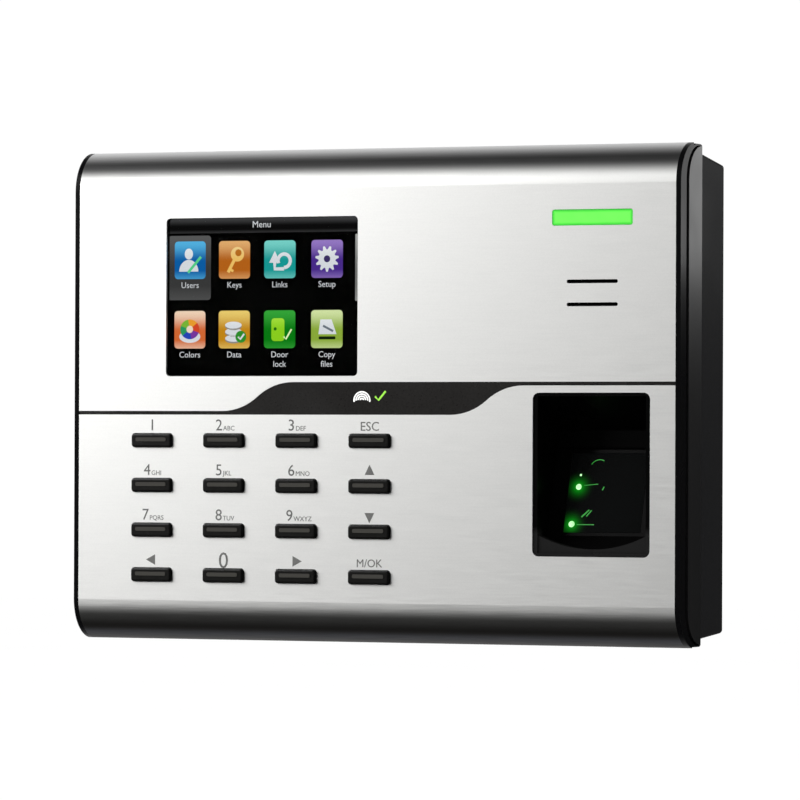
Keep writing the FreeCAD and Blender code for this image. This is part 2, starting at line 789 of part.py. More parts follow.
def rear_housing():
    """Matt black tray behind the front, tapered towards the wall."""
    body = doc.addObject("PartDesign::Body", "housing_body")
    front = shell_outline(body, "front_outline", "middle_depth")
    back = shell_outline(body, "back_outline", f"{HOUSING_BACK} - housing_bevel")
    bevel = shell_outline(body, "back_bevel", HOUSING_BACK, "housing_bevel", "hollow_corner")
    shell = body.newObject("PartDesign::AdditiveLoft", "shell")
    shell.Profile = front
    shell.Sections = [back, bevel]
    shell.Ruled = True
    doc.recompute()
    lip = front_sketch(body, "lip", "middle_depth")
    up = mirrored(f"{RING_Z} - ring_wall - 2 * joint_gap")
    rectangle(lip, "lip", mirrored(f"{SEAT_X} - joint_gap"), up)
    pad(body, lip, "lip_pad", "tongue_reach")
    hollow_front = shell_outline(body, "hollow_front", "middle_depth", "housing_wall", "hollow_corner")
    hollow_back = shell_outline(body, "hollow_back", INNER_BACK, "housing_wall", "hollow_corner")
    hollow = body.newObject("PartDesign::SubtractiveLoft", "hollow")
    hollow.Profile = hollow_front
    hollow.Sections = [hollow_back]
    hollow.Ruled = True
    doc.recompute()
    mouth = front_sketch(body, "mouth", "middle_depth - tongue_reach - 1")
    inner_x = f"{SEAT_X} - joint_gap - tongue_wall"
    inner_z = f"{SHELL_Z} - housing_wall"
    rectangle(mouth, "mouth", mirrored(inner_x), mirrored(inner_z))
    pocket(body, mouth, "mouth_cut", "tongue_reach + 1.2")
    recess = front_sketch(body, "plate_recess", "body_depth + 1")
    across = mirrored("plate_width / 2 + 1")
    up = ("-plate_height / 2 - lift_travel - slide_gap - 0.2", "plate_height / 2 + 1")
    rectangle(recess, "recess", across, up, "2")
    pocket(body, recess, "plate_recess_cut", "1 + plate_thick + plate_gap", reverse=True)
    tongue = front_sketch(body, "tongue_recess", "body_depth + 1")
    rectangle(tongue, "tongue", mirrored("tongue_width / 2 + 0.8"), (f"-{HALF_HEIGHT}", "-plate_height / 2"))
    pocket(body, tongue, "tongue_recess_cut", "1 + plate_thick + plate_gap", reverse=True)
    return housing_details(body)


def housing_details(body):
    """Posts, hook slots, lock block and the openings of the rear housing."""
    added = [
        rod(f"case_post_{place}", "case_post_radius", x, ("post_meet + joint_gap", f"{HOUSING_BACK} - 1"), z)
        for place, (x, z) in enumerate(case_post_places())
    ]
    added += [
        rod(f"board_post_{place}", "post_radius", x, (BOARD_BACK, f"{INNER_BACK} + 0.5"), z)
        for place, (x, z) in enumerate(board_post_places())
    ]
    lock_depth = ("body_depth - 14", "body_depth - 2.2")
    lock_height = ("lock_flange_z - 0.6", "lock_flange_z + 10.5")
    added.append(block("lock_block", mirrored("tongue_width / 2 + 4"), lock_depth, lock_height))
    outer = doc.addObject("Part::MultiFuse", "housing_solid")
    outer.Shapes = [body, *added]
    outer.Refine = True
    tools = []
    for place, (x, z) in enumerate(case_post_places()):
        through = ("post_meet - 1", "body_depth + 1")
        tools.append(rod(f"case_bore_{place}", "screw_shank + screw_gap", x, through, z))
        seat = ("post_meet + 6", "body_depth + 1")
        tools.append(rod(f"case_seat_{place}", "screw_head + 0.4", x, seat, z))
    for place, (x, z) in enumerate(board_post_places()):
        deep = (f"{BOARD_BACK} - 1", f"{BOARD_BACK} + 8")
        tools.append(rod(f"board_bore_{place}", "small_shank", x, deep, z))
    through = (f"{INNER_BACK} - 1", "body_depth + 1")
    for place, (x, z) in enumerate(hook_places()):
        up = (f"{z} - lift_travel - 2 * slide_gap", f"{z} + hook_stem + 0.1")
        tools.append(block(f"hook_slot_{place}", about(x, "hook_width + 1"), through, up))
    across = mirrored("cable_width / 2 + 4")
    tools.append(block("cable_hole", across, through, ("cable_base - 4", "cable_top + 2")))
    tools.append(rod("tamper_hole", "2.5", "tamper_x", through, "tamper_z"))
    under = ("lock_flange_z - 6", "lock_flange_z + plate_thick + 0.1")
    lock_back = ("body_depth - 12", "body_depth + 1")
    tools.append(block("lock_pocket", mirrored("tongue_width / 2 + 0.8"), lock_back, under))
    bore = ("lock_flange_z", "lock_flange_z + 8.5")
    tools.append(upright("insert_bore", "2.5", "0", "body_depth - lock_y", bore))
    port = about(f"{BOARD_BACK} + 3.8", "7")
    tools.append(block("usb_hole", about("usb_x", "15.2"), port, (f"-{HALF_HEIGHT}", f"-{HALF_HEIGHT} + 8")))
    return cut("rear_housing", outer, tools)


def board_post_places():
    """Where the four screws of the main board stand."""
    columns = ("board_left + board_inset", "board_right - board_inset")
    rows = ("board_low + board_inset", "board_high - board_inset")
    return [(column, row) for column in columns for row in rows]


def hook_places():
    """Where the wall plate's four hooks start: x and the foot of the stem."""
    return [(f"{side}hook_x", row) for side in ("-", "") for row in ("hook_high_z", "hook_low_z")]


# --------------------------------------------------------- screen and light bar

def screen_window():
    """Clear window in the frame's seat, behind the upper sheet."""
    body = doc.addObject("PartDesign::Body", "screen_window")
    glass = front_sketch(body, "glass", "sheet + window_thick")
    across = about("screen_x", "screen_width + 2 * window_lap - 0.2")
    up = about("screen_z", "screen_height + 2 * window_lap - 0.2")
    rectangle(glass, "glass", across, up, "screen_corner")
    pad(body, glass, "glass_pad", "window_thick")
    return body


def lcd_bracket():
    """Sheet frame that clamps the screen module from behind."""
    depth = behind("lcd_front + lcd_thick", "bracket_thick")
    across = about("screen_x", "lcd_width + 2 * bracket_ear + 2")
    plate = block("bracket_plate", across, depth, about("screen_z", "lcd_height"))
    wide = ("lcd_front + lcd_thick - 1", "lcd_front + lcd_thick + bracket_thick + 1")
    window_x, window_z = about("screen_x", "lcd_width - 12"), about("screen_z", "lcd_height - 12")
    tools = [block("bracket_window", window_x, wide, window_z)]
    for place, (x, z) in enumerate(lcd_post_places()):
        tools.append(rod(f"bracket_hole_{place}", "small_shank + screw_gap", x, wide, z))
    return cut("lcd_bracket", plate, tools)


def light_bar_lens():
    """Green bar that shows through the sheet, with a flange behind the frame."""
    body = doc.addObject("PartDesign::Body", "light_bar_lens")
    face = front_sketch(body, "face", f"{WALL_BACK}")
    across, up = about("bar_x", "bar_width - 0.2"), about("bar_z", "bar_height - 0.2")
    rectangle(face, "face", across, up, "bar_corner")
    pad(body, face, "face_pad", f"{WALL_BACK} - 0.1")
    flange = front_sketch(body, "flange", f"{WALL_BACK} + 1")
    rectangle(flange, "flange", about("bar_x", "bar_width + 3"), about("bar_z", "bar_height + 2.6"))
    pad(body, flange, "flange_pad", "1")
    return body


def indicator():
    """The little board behind the light bar, and its three lamps."""
    depth = behind(f"{WALL_BACK} + 3.2", "1.2")
    block("indicator_board", about("bar_x", "bar_width + 7"), depth, about("bar_z", "7.6"))
    lamps = [
        block(f"lamp_{place}", about(f"bar_x + {place - 1} * bar_width / 3", "3"),
              (f"{WALL_BACK} + 1.9", f"{WALL_BACK} + 3.2"), about("bar_z", "2.6"))
        for place in range(3)
    ]
    group("indicator_leds", lamps)


def speaker():
    """Round speaker behind the two slots, and the cloth in front of it."""
    layers = [("speaker_radius", "0.4", "2.4"), ("speaker_radius * 0.75", "2.4", "4.2"),
              ("speaker_radius * 0.5", "4.2", "0.4 + speaker_thick")]
    steps = []
    for place, (radius, front, back) in enumerate(layers):
        depth = (f"{WALL_BACK} + {front}", f"{WALL_BACK} + {back}")
        steps.append(rod(f"speaker_step_{place}", radius, "slot_x", depth, "slot_z"))
    fuse("speaker", steps)
    rod("speaker_cloth", "speaker_radius", "slot_x", (WALL_BACK, f"{WALL_BACK} + 0.3"), "slot_z")


# --------------------------------------------------------------------- keypad

def key(label, column, row):
    """A key: a rounded cap with a raised bar, a flange and a stem behind."""
    body = doc.addObject("PartDesign::Body", label)
    width = "key_hole_width - 2 * key_gap"
    height = "key_hole_height - 2 * key_gap"
    cap = front_sketch(body, "cap", f"{WALL_BACK} + 0.5")
    rectangle(cap, "cap", about("0", width), about("0", height), "key_hole_corner - key_gap")
    pad(body, cap, "cap_pad", f"{WALL_BACK} + 0.5 + key_proud * 0.8")
    soften(body, "cap_round", "0.45", lambda point: near(point.y, "-body_depth - key_proud * 0.8"))
    bar = front_sketch(body, "bar", "0")
    rectangle(bar, "bar", about("0", f"({width}) * 0.76"), about("0.25", f"({height}) * 0.3"), "0.4")
    pad(body, bar, "bar_pad", "key_proud")
    flange = front_sketch(body, "flange", f"{WALL_BACK} + 0.1 + key_flange_thick")
    across = about("0", f"{width} + 2 * key_flange")
    rectangle(flange, "flange", across, about("0", f"{height} + 2 * key_flange"))
    pad(body, flange, "flange_pad", "key_flange_thick")
    stem = front_sketch(body, "stem", f"{WALL_BACK} + 0.1 + key_flange_thick + 0.9")
    rectangle(stem, "stem", mirrored("1.2"), mirrored("1.2"))
    pad(body, stem, "stem_pad", "1")
    bind(body, "Placement.Base.x", f"key_x + key_pitch_x * {column}")
    bind(body, "Placement.Base.z", f"key_z - key_pitch_z * {row}")
    return body


def key_cells():
    """The column and row of every key."""
    return [(column, row) for row in range(KEY_ROWS) for column in range(KEY_COLUMNS)]


def keypad():
    """The rubber mat with its domes, and the contact board behind it."""
    half_x, half_z = "(key_hole_width / 2 + 0.4)", "(key_hole_height / 2 + 2)"
    across = (f"key_x - {half_x}", f"key_x + key_pitch_x * {KEY_COLUMNS - 1} + {half_x}")
    up = (f"key_z - key_pitch_z * {KEY_ROWS - 1} - {half_z}", f"key_z + {half_z}")
    pieces = [block("mat_sheet", across, behind(MAT_FRONT, "mat_thick"), up)]
    for place, (column, row) in enumerate(key_cells()):
        dome = doc.addObject("Part::Cone", f"mat_dome_{place}")
        dome.Placement.Rotation = FreeCAD.Rotation(FreeCAD.Vector(1, 0, 0), -90)
        bind(dome, "Height", "dome_height")
        bind(dome, "Radius1", "key_hole_height * 0.35")
        bind(dome, "Radius2", "key_hole_height * 0.6")
        bind(dome, "Placement.Base.x", f"key_x + key_pitch_x * {column}")
        bind(dome, "Placement.Base.y", f"{MAT_FRONT} - dome_height - body_depth")
        bind(dome, "Placement.Base.z", f"key_z - key_pitch_z * {row}")
        pieces.append(dome)
    fuse("keypad_mat", pieces)
    left, right, low, high = pad_board_span()
    depth = behind(PAD_BOARD_FRONT, "pad_board_thick")
    board = block("keypad_board_blank", (left, right), depth, (low, high))
    wide = (f"{PAD_BOARD_FRONT} - 1", f"{PAD_BOARD_BACK} + 1")
    holes = [
        rod(f"pad_hole_{place}", "small_shank + screw_gap", x, wide, z)
        for place, (x, z) in enumerate(pad_post_places())
    ]
    cut("keypad_board", board, holes)


# --------------------------------------------------------------------- sensor

def tilted(name, margin, thickness):
    """A box whose front face is the glass plate's plane, grown by a margin."""
    box = doc.addObject("Part::Box", name)
    tilt = number("platen_tilt")
    box.Placement.Rotation = FreeCAD.Rotation(FreeCAD.Vector(1, 0, 0), -tilt)
    side = f"(platen_size / 2 + {margin})"
    bind(box, "Length", f"2 * {side}")
    bind(box, "Width", thickness)
    bind(box, "Height", f"2 * {side}")
    bind(box, "Placement.Base.x", f"finger_x - {side}")
    bind(box, "Placement.Base.y", f"platen_depth - body_depth - sin(platen_tilt) * {side}")
    bind(box, "Placement.Base.z", f"platen_z - cos(platen_tilt) * {side}")
    return box


def well_outline():
    """The well's hollow seen from the side, as depth and height points."""
    tilt = math.radians(number("platen_tilt"))
    reach = number("platen_size") / 2 + 1
    top = number("finger_z + finger_height / 2 - 0.9")
    low = number("finger_z - finger_height / 2 + 0.9")
    depth, height = number("platen_depth"), number("platen_z")
    back = number("well_depth") - 1.4
    plate_top = (depth + math.sin(tilt) * reach, height + math.cos(tilt) * reach)
    plate_low = (depth - math.sin(tilt) * reach, height - math.cos(tilt) * reach)
    return [(-1, top), (1.5, top), (back, top - 9), (back, plate_top[1] + 0.6), plate_top,
            plate_low, (number("lip_depth") + 1.2, low), (-1, low)]


def sensor_bezel():
    """Black surround of the fingerprint window, with its well and lip."""
    body = doc.addObject("PartDesign::Body", "bezel_body")
    across, up = about("finger_x", "finger_width - 0.2"), about("finger_z", "finger_height - 0.2")
    front = front_sketch(body, "front", "well_depth")
    rectangle(front, "front", across, up, "finger_corner - 0.1")
    pad(body, front, "front_pad", "well_depth - 0.4")
    flange = front_sketch(body, "flange", f"{WALL_BACK} + flange_thick")
    across = about("finger_x", "finger_width + 2 * flange_lap")
    rectangle(flange, "flange", across, about("finger_z", "finger_height + 2 * flange_lap"))
    pad(body, flange, "flange_pad", "flange_thick")
    well = side_sketch(body, "well", "finger_x")
    setback = number("body_depth")
    points = [FreeCAD.Vector(depth - setback, z, 0) for depth, z in well_outline()]
    closed_sketch(well, [Part.LineSegment(a, b) for a, b in zip(points, points[1:] + points[:1])])
    pocket(body, well, "well_cut", "finger_width - 2 * well_wall", middle=True)
    ears = [
        block(f"sensor_ear_{place}", about(x, "6"), behind("ear_depth", "ear_thick"), about(z, "9.4"))
        for place, (x, z) in enumerate(sensor_post_places())
    ]
    lip_across = about("finger_x", "finger_width - 2 * well_wall + 0.4")
    lip_low = "finger_z - finger_height / 2 + 0.5"
    lip_top = "finger_z - finger_height / 2 + 2.0 + lip_sag"
    lip_blank = block("lip_blank", lip_across, behind("0.9", "lip_depth"), (lip_low, lip_top))
    arc_centre = f"({lip_top}) - lip_sag + {LIP_RADIUS}"
    lip_arc = rod("lip_arc", f"{LIP_RADIUS}", "finger_x", ("0", "lip_depth + 3"), arc_centre)
    lip = cut("finger_lip", lip_blank, [lip_arc])
    solid = fuse("bezel_solid", [body, lip, *ears])
    wide = ("ear_depth - 1", "ear_depth + ear_thick + 1")
    holes = [
        rod(f"sensor_hole_{place}", "small_shank + screw_gap", x, wide, z)
        for place, (x, z) in enumerate(sensor_post_places())
    ]
    return cut("sensor_bezel", solid, [tilted("prism_seat", "0.1", "30"), *holes])


def sensor_parts():
    """The glass prism and the dark box behind it with its lens and lamps."""
    tilted("sensor_prism", "0", "prism_thick")
    back = "sensor_back - sensor_board_thick"
    across = about("finger_x", "finger_width - 3.4")
    up = ("finger_z - finger_height / 2 + 0.8", "finger_z + finger_height / 2 - 5")
    tube = block("sensor_tube", across, ("well_depth + 0.1", back), up)
    inside_x = about("finger_x", "finger_width - 3.4 - 2 * sensor_wall")
    inside_z = (f"{up[0]} + sensor_wall", f"{up[1]} - sensor_wall")
    hollow = block("sensor_tube_hollow", inside_x, ("well_depth - 1", f"{back} + 1"), inside_z)
    cut("sensor_housing", tube, [hollow])
    block("sensor_board", across, (back, "sensor_back"), up)
    barrel = rod("lens_barrel", "4", "finger_x", (f"{back} - 3.5", back), "platen_z + 1")
    bore = rod("lens_bore", "2.4", "finger_x", (f"{back} - 4", f"{back} - 2.5"), "platen_z + 1")
    cut("sensor_lens", barrel, [bore])
    lamps = [
        rod(f"sensor_lamp_{place}", "1.5", f"finger_x {side} 10", (f"{back} - 4", back), f"platen_z - {drop}")
        for place, (side, drop) in enumerate((side, drop) for side in "+-" for drop in (0, 8))
    ]
    group("sensor_leds", lamps)


# ----------------------------------------------------------------- main board

def main_board():
    """The main board with a hole over each post."""
    blank = block("board_blank", ("board_left", "board_right"), behind("board_depth", "board_thick"),
                  ("board_low", "board_high"))
    wide = ("board_depth - 1", f"{BOARD_BACK} + 1")
    holes = [
        rod(f"board_hole_{place}", "small_shank + screw_gap", x, wide, z)
        for place, (x, z) in enumerate(board_post_places())
    ]
    cut("main_board", blank, holes)


def on_front(name, x, z, width, height, thick):
    """A part that stands on the board's front face."""
    return block(name, about(x, width), (f"board_depth - {thick}", "board_depth"), about(z, height))


def board_parts():
    """The processor, the memory chips and the board's connectors."""
    chips = [on_front("processor", "0", "12", "14", "14", "1.4")]
    for place in range(2):
        chips.append(on_front(f"memory_{place}", f"{-18 + 36 * place}", "12", "10", "12", "1.1"))
    group("board_chips", chips)
    sockets = [
        on_front("lcd_socket", "screen_x", "screen_z", "22", "5", "2.4"),
        on_front("pad_socket", "key_x + 26", "board_low + 22", "16", "5", "2.4"),
        on_front("speaker_socket", "board_right - 4", "14", "5", "7", "4"),
        block("sensor_socket", about("board_right - 5", "5"), behind(BOARD_BACK, "2"),
              about("platen_z", "12")),
        block("battery_socket", about("battery_x + battery_width / 2 + 6", "6"),
              behind(BOARD_BACK, "4.5"), about("battery_z + 10", "7")),
    ]
    group("board_sockets", sockets)
    spots = ((-66, -20, 3.0), (-66, -30, 3.0), (37, -39, 4.0), (30, -46, 3.0))
    cans = [
        rod(f"capacitor_{place}", f"{radius}", f"{x}", behind(BOARD_BACK, "9"), f"{z}")
        for place, (x, z, radius) in enumerate(spots)
    ]
    group("capacitors", cans)
    holder = on_front("cell_tray", "20", "board_low + 20", "24", "22", "3.6")
    well = rod("cell_well", "10.1", "20", ("board_depth - 5", "board_depth - 0.4"), "board_low + 20")
    cut("coin_cell_holder", holder, [well])
    rod("coin_cell", "10", "20", ("board_depth - 3.6", "board_depth - 0.4"), "board_low + 20")


def network_jack():
    """Eight-way network socket; its mouth faces down into the cable bay."""
    low = "cable_top + 3"
    shell = block("jack_shell", about("jack_x", "jack_width"), behind(BOARD_BACK, "jack_thick"),
                  behind(low, "jack_length"))
    mouth_depth = (f"{BOARD_BACK} + 2.6", f"{BOARD_BACK} + 11")
    mouth = block("jack_mouth", about("jack_x", "jack_width - 4.2"), mouth_depth,
                  (f"{low} - 1", f"{low} + 12.5"))
    slot_depth = (f"{BOARD_BACK} + 10", f"{BOARD_BACK} + jack_thick - 1")
    key_slot = block("jack_key_slot", about("jack_x", "4"), slot_depth, (f"{low} - 1", f"{low} + 6"))
    cut("network_jack", shell, [mouth, key_slot])


def terminal_block():
    """Screw terminals for the lock, bell and supply wires."""
    low = "cable_top + 3"
    base = block("terminal_base", about("block_x", "block_width"), behind(BOARD_BACK, "10"),
                 behind(low, "9"))
    ways = 8
    holes = []
    for place in range(ways):
        x = f"block_x + block_width * {(place + 0.5) / ways - 0.5}"
        wire_reach = (f"{low} - 1", f"{low} + 6")
        holes.append(upright(f"wire_hole_{place}", "1.1", x, f"{BOARD_BACK} + 3.5", wire_reach))
        clamp_reach = (f"{BOARD_BACK} + 8", f"{BOARD_BACK} + 11")
        holes.append(rod(f"clamp_hole_{place}", "1.2", x, clamp_reach, f"{low} + 4.5"))
    cut("terminal_block", base, holes)


def usb_port():
    """Socket on the board's lower edge, behind a slot in the underside."""
    low = "-body_height / 2 + 4.9"
    depth = behind(f"{BOARD_BACK} + 0.8", "usb_thick")
    shell = block("usb_shell", about("usb_x", "usb_width"), depth, behind(low, "usb_length"))
    hollow_depth = (f"{BOARD_BACK} + 1.3", f"{BOARD_BACK} + 0.3 + usb_thick")
    hollow = block("usb_hollow", about("usb_x", "usb_width - 1"), hollow_depth,
                   (f"{low} - 1", f"{low} + usb_length - 3"))
    tongue = block("usb_tongue", about("usb_x", "usb_width - 2.4"),
                   (f"{BOARD_BACK} + usb_thick - 2", f"{BOARD_BACK} + usb_thick - 0.2"),
                   (f"{low} + 0.8", f"{low} + usb_length - 2.9"))
    foot = block("usb_foot", about("usb_x", "usb_width - 2"), (BOARD_BACK, f"{BOARD_BACK} + 0.9"),
                 ("board_low + 0.5", f"{low} + usb_length - 0.5"))
    fuse("usb_port", [cut("usb_case", shell, [hollow]), tongue, foot])


def tamper_parts():
    """Switch on the board, and the plunger that the wall plate holds in."""
    deep = f"{BOARD_BACK} + 2"
    case = block("tamper_case", about("tamper_x", "8"), behind(BOARD_BACK, "8"), about("tamper_z", "8"))
    bore = rod("tamper_bore", "tamper_radius + 0.05", "tamper_x", (deep, f"{BOARD_BACK} + 9"), "tamper_z")
    cut("tamper_switch", case, [bore])
    start = f"{deep} + tamper_travel + 0.5"
    rod("tamper_plunger", "tamper_radius", "tamper_x", (start, f"{PLATE_FRONT} - slide_gap"), "tamper_z")


def lead(name, points, radius):
    """A wire along straight runs joined by tangent arcs; points are x, depth, z."""
    setback = number("body_depth")
    spots = [FreeCAD.Vector(x, depth - setback, z) for x, depth, z in points]
    edges = []
    begin = spots[0]
    for before, corner, after in zip(spots, spots[1:], spots[2:]):
        into = (corner - before).normalize()
        out = (after - corner).normalize()
        turn = into.getAngle(out)
        trim = 0.45 * min((corner - before).Length, (after - corner).Length)
        first, last = corner - into * trim, corner + out * trim
        middle_way = (out - into).normalize()
        bend = trim / math.tan(turn / 2)
        middle = corner + middle_way * (bend / math.cos(turn / 2) - bend)
        edges.append(Part.LineSegment(begin, first).toShape())
        edges.append(Part.Arc(first, middle, last).toShape())
        begin = last
    edges.append(Part.LineSegment(begin, spots[-1]).toShape())
    path = Part.Wire(edges)
    ring = Part.Wire(Part.Circle(spots[0], spots[1] - spots[0], radius).toShape())
    return path.makePipeShell([ring], True, True)


def leads():
    """Pairs of wires from the speaker and from the battery to the board."""
    wire = 0.6
    speaker_depth = number(f"{WALL_BACK} + 0.4 + speaker_thick")
    socket_x, socket_depth = number("board_right - 4"), number("board_depth - 4")
    speaker_x, speaker_z = number("slot_x"), number("slot_z")
    battery_edge, battery_z = number("battery_x + battery_width / 2"), number("battery_z + 10")
    battery_depth = number(f"{INNER_BACK} - battery_thick / 2")
    battery_socket = number(f"{BOARD_BACK} + 4.5")
    routes = {"speaker_leads": [], "battery_leads": []}
    for step in (-1, 1):
        z = 14 + step * 1.4
        routes["speaker_leads"].append([
            (speaker_x - 4, speaker_depth, speaker_z - 3 + step * 1.4),
            (speaker_x - 4, speaker_depth + 3.2, speaker_z - 3 + step * 1.4),
            (speaker_x - 14, speaker_depth + 2.2, z),
            (socket_x, speaker_depth - 1.2, z),
            (socket_x, socket_depth, z),
        ])
        z = battery_z + step * 1.4
        routes["battery_leads"].append([
            (battery_edge, battery_depth, z),
            (battery_edge + 6, battery_depth, z),
            (battery_edge + 6, battery_socket, z),
        ])
    for name, pair in routes.items():
        feature = doc.addObject("Part::Feature", name)
        feature.Shape = Part.makeCompound([lead(name, points, wire) for points in pair])


def ribbons():
    """Flat cables from the screen, the keypad and the sensor to the board."""
    socket_front = "board_depth - 2.4"
    across = about("screen_x", "18")
    level = "(screen_z - 8.3)"
    run = block("lcd_run", across, ("lcd_front + lcd_thick", socket_front), (level, f"{level} + 0.3"))
    fold = block("lcd_fold", across, (f"{socket_front} - 0.3", socket_front), (level, "screen_z + 2"))
    fuse("lcd_ribbon", [run, fold])
    across = about("key_x + 26", "12")
    level = "board_low + 14"
    run = block("pad_run", across, (PAD_BOARD_BACK, socket_front), (level, f"{level} + 0.3"))
    fold = block("pad_fold", across, (f"{socket_front} - 0.3", socket_front), (level, "board_low + 24"))
    fuse("keypad_ribbon", [run, fold])
    up = about("platen_z", "10")
    edge = "board_right - 5"
    run = block("sensor_run", (edge, "finger_x - 6"), behind("sensor_back", "0.3"), up)
    fold = block("sensor_fold", (edge, f"{edge} + 0.3"), (f"{BOARD_BACK} + 2", "sensor_back + 0.3"), up)
    fuse("sensor_ribbon", [run, fold])


def battery():
    """Backup battery, stuck to the inside of the rear wall."""
    body = doc.addObject("PartDesign::Body", "backup_battery")
    outline = front_sketch(body, "outline", INNER_BACK)
    across = about("battery_x", "battery_width")
    rectangle(outline, "cell", across, about("battery_z", "battery_height"), "2")
    pad(body, outline, "cell_pad", "battery_thick")
    return body


# ------------------------------------------------------------------ fasteners

def screw(name, x, z, seat, length, forward, small=False):
    """A pan-head screw along Y; its head sits behind or before the seat."""
    shank = "small_shank" if small else "screw_shank"
    head = "small_head" if small else "screw_head"
    thick = "small_head_thick" if small else "screw_head_thick"
    if forward:
        stem_span = (f"{seat} - {length}", f"{seat}")
        head_span = (f"{seat}", f"{seat} + {thick}")
        slot_span = (f"{seat} + {thick} * 0.5", f"{seat} + {thick} + 1")
    else:
        stem_span = (f"{seat}", f"{seat} + {length}")
        head_span = (f"{seat} - {thick}", f"{seat}")
        slot_span = (f"{seat} - {thick} - 1", f"{seat} - {thick} * 0.5")
    solid = fuse(f"{name}_solid", [rod(f"{name}_shank", shank, x, stem_span, z),
                                   rod(f"{name}_head", head, x, head_span, z)])
    wide, thin = f"{head} * 1.2", f"{head} * 0.28"
    slots = [block(f"{name}_slot_a", about(x, wide), slot_span, about(z, thin)),
             block(f"{name}_slot_b", about(x, thin), slot_span, about(z, wide))]
    return cut(name, solid, slots)


def screws():
    """Every screw, grouped by what it holds."""
    group("case_screws", [
        screw(f"case_screw_{place}", x, z, "post_meet + 6", "case_screw_length", True)
        for place, (x, z) in enumerate(case_post_places())
    ])
    families = (
        ("bracket", lcd_post_places(), "lcd_front + lcd_thick + bracket_thick", "bracket_thick + 1.6", True),
        ("keypad", pad_post_places(), PAD_BOARD_BACK, "pad_board_thick + 1.6", True),
        ("sensor", sensor_post_places(), "ear_depth + ear_thick", "ear_thick + 1.6", True),
        ("board", board_post_places(), "board_depth", "board_thick + 6", False),
    )
    small_screws = [
        screw(f"{name}_screw_{place}", x, z, f"({seat})", f"({length})", forward, small=True)
        for name, places, seat, length, forward in families
        for place, (x, z) in enumerate(places)
    ]
    group("small_screws", small_screws)


def lock_parts():
    """Brass insert in the underside, and the security screw that enters it."""
    span = ("lock_flange_z + plate_thick + 0.1", "lock_flange_z + 8.3")
    depth = "body_depth - lock_y"
    sleeve = upright("insert_sleeve", "2.5", "0", depth, span)
    bore = upright("insert_thread", "screw_shank + 0.05", "0", depth, ("lock_flange_z", "lock_flange_z + 9"))
    cut("lock_insert", sleeve, [bore])
    seat = "(lock_flange_z - screw_gap)"
    solid = fuse("security_screw_solid", [
        upright("security_shank", "screw_shank", "0", depth, (f"{seat} - 0.1", f"{seat} + 7.8")),
        upright("security_head", "screw_head", "0", depth, (f"{seat} - 1.6", seat)),
    ])
    socket = upright("security_socket", "1.2", "0", depth, (f"{seat} - 2", f"{seat} - 0.6"))
    cut("security_screw", solid, [socket])


def wall_plate():
    """Steel plate on the wall: bolt holes, cable hole, four hooks, lock tab."""
    body = doc.addObject("PartDesign::Body", "plate_body")
    outline = front_sketch(body, "outline", "body_depth")
    rectangle(outline, "plate", mirrored("plate_width / 2"), mirrored("plate_height / 2"), "4")
    pad(body, outline, "plate_pad", "plate_thick")
    opening = front_sketch(body, "cable_opening", f"{PLATE_FRONT} - 1")
    rectangle(opening, "cable", mirrored("cable_width / 2"), ("cable_base", "cable_top"), "3")
    pocket(body, opening, "cable_cut", "plate_thick + 3")
    pieces = [body]
    tip_back = f"{INNER_BACK} - slide_gap"
    for place, (x, z) in enumerate(hook_places()):
        across = about(x, "hook_width")
        stem = (f"{tip_back} - 0.1", f"{PLATE_FRONT} + 0.2")
        pieces.append(block(f"hook_stem_{place}", across, stem, (z, f"{z} + hook_stem")))
        tip = (f"{tip_back} - plate_thick", tip_back)
        pieces.append(block(f"hook_tip_{place}", across, tip, (z, f"{z} + hook_stem + hook_tip")))
    half = mirrored("tongue_width / 2")
    tongue = (f"{PLATE_FRONT}", "body_depth")
    pieces.append(block("plate_tongue", half, tongue, ("lock_flange_z", "-plate_height / 2 + 2")))
    flange = ("body_depth - 11", "body_depth")
    pieces.append(block("plate_flange", half, flange, ("lock_flange_z", "lock_flange_z + plate_thick")))
    solid = fuse("plate_solid", pieces)
    through = (f"{PLATE_FRONT} - 1", "body_depth + 1")
    holes = [
        rod(f"bolt_hole_{place}", "bolt_hole", f"{side} bolt_span_x / 2", through, f"{way} bolt_span_z / 2")
        for place, (side, way) in enumerate((side, way) for side in "+-" for way in "+-")
    ]
    holes.append(upright("flange_hole", "screw_shank + 0.2", "0", "body_depth - lock_y",
                         ("lock_flange_z - 1", "lock_flange_z + 3")))
    return cut("wall_plate", solid, holes)


# ----------------------------------------------------------------------- build

KEY_NAMES = (
    ("key_1", "key_2", "key_3", "key_escape"),
    ("key_4", "key_5", "key_6", "key_up"),
    ("key_7", "key_8", "key_9", "key_down"),
    ("key_left", "key_0", "key_right", "key_enter"),
)


def build():
    """Make every sub-part."""
    curves = parting_curves()
    upper_panel(curves)
    lower_panel(curves)
    trim_band(curves)
    front_frame()
    middle_frame()
    rear_housing()
    screen_window()
    block("lcd_module", about("screen_x", "lcd_width"), behind("lcd_front", "lcd_thick"),
          about("screen_z", "lcd_height"))
    lcd_bracket()
    light_bar_lens()
    indicator()
    speaker()
    keypad()
    sensor_bezel()
    sensor_parts()
    main_board()
    board_parts()
    network_jack()
    terminal_block()
    usb_port()
    tamper_parts()
    battery()
    leads()
    ribbons()
    screws()
    lock_parts()
    wall_plate()
    for row, names in enumerate(KEY_NAMES):
        for column, label in enumerate(names):
            key(label, column, row)


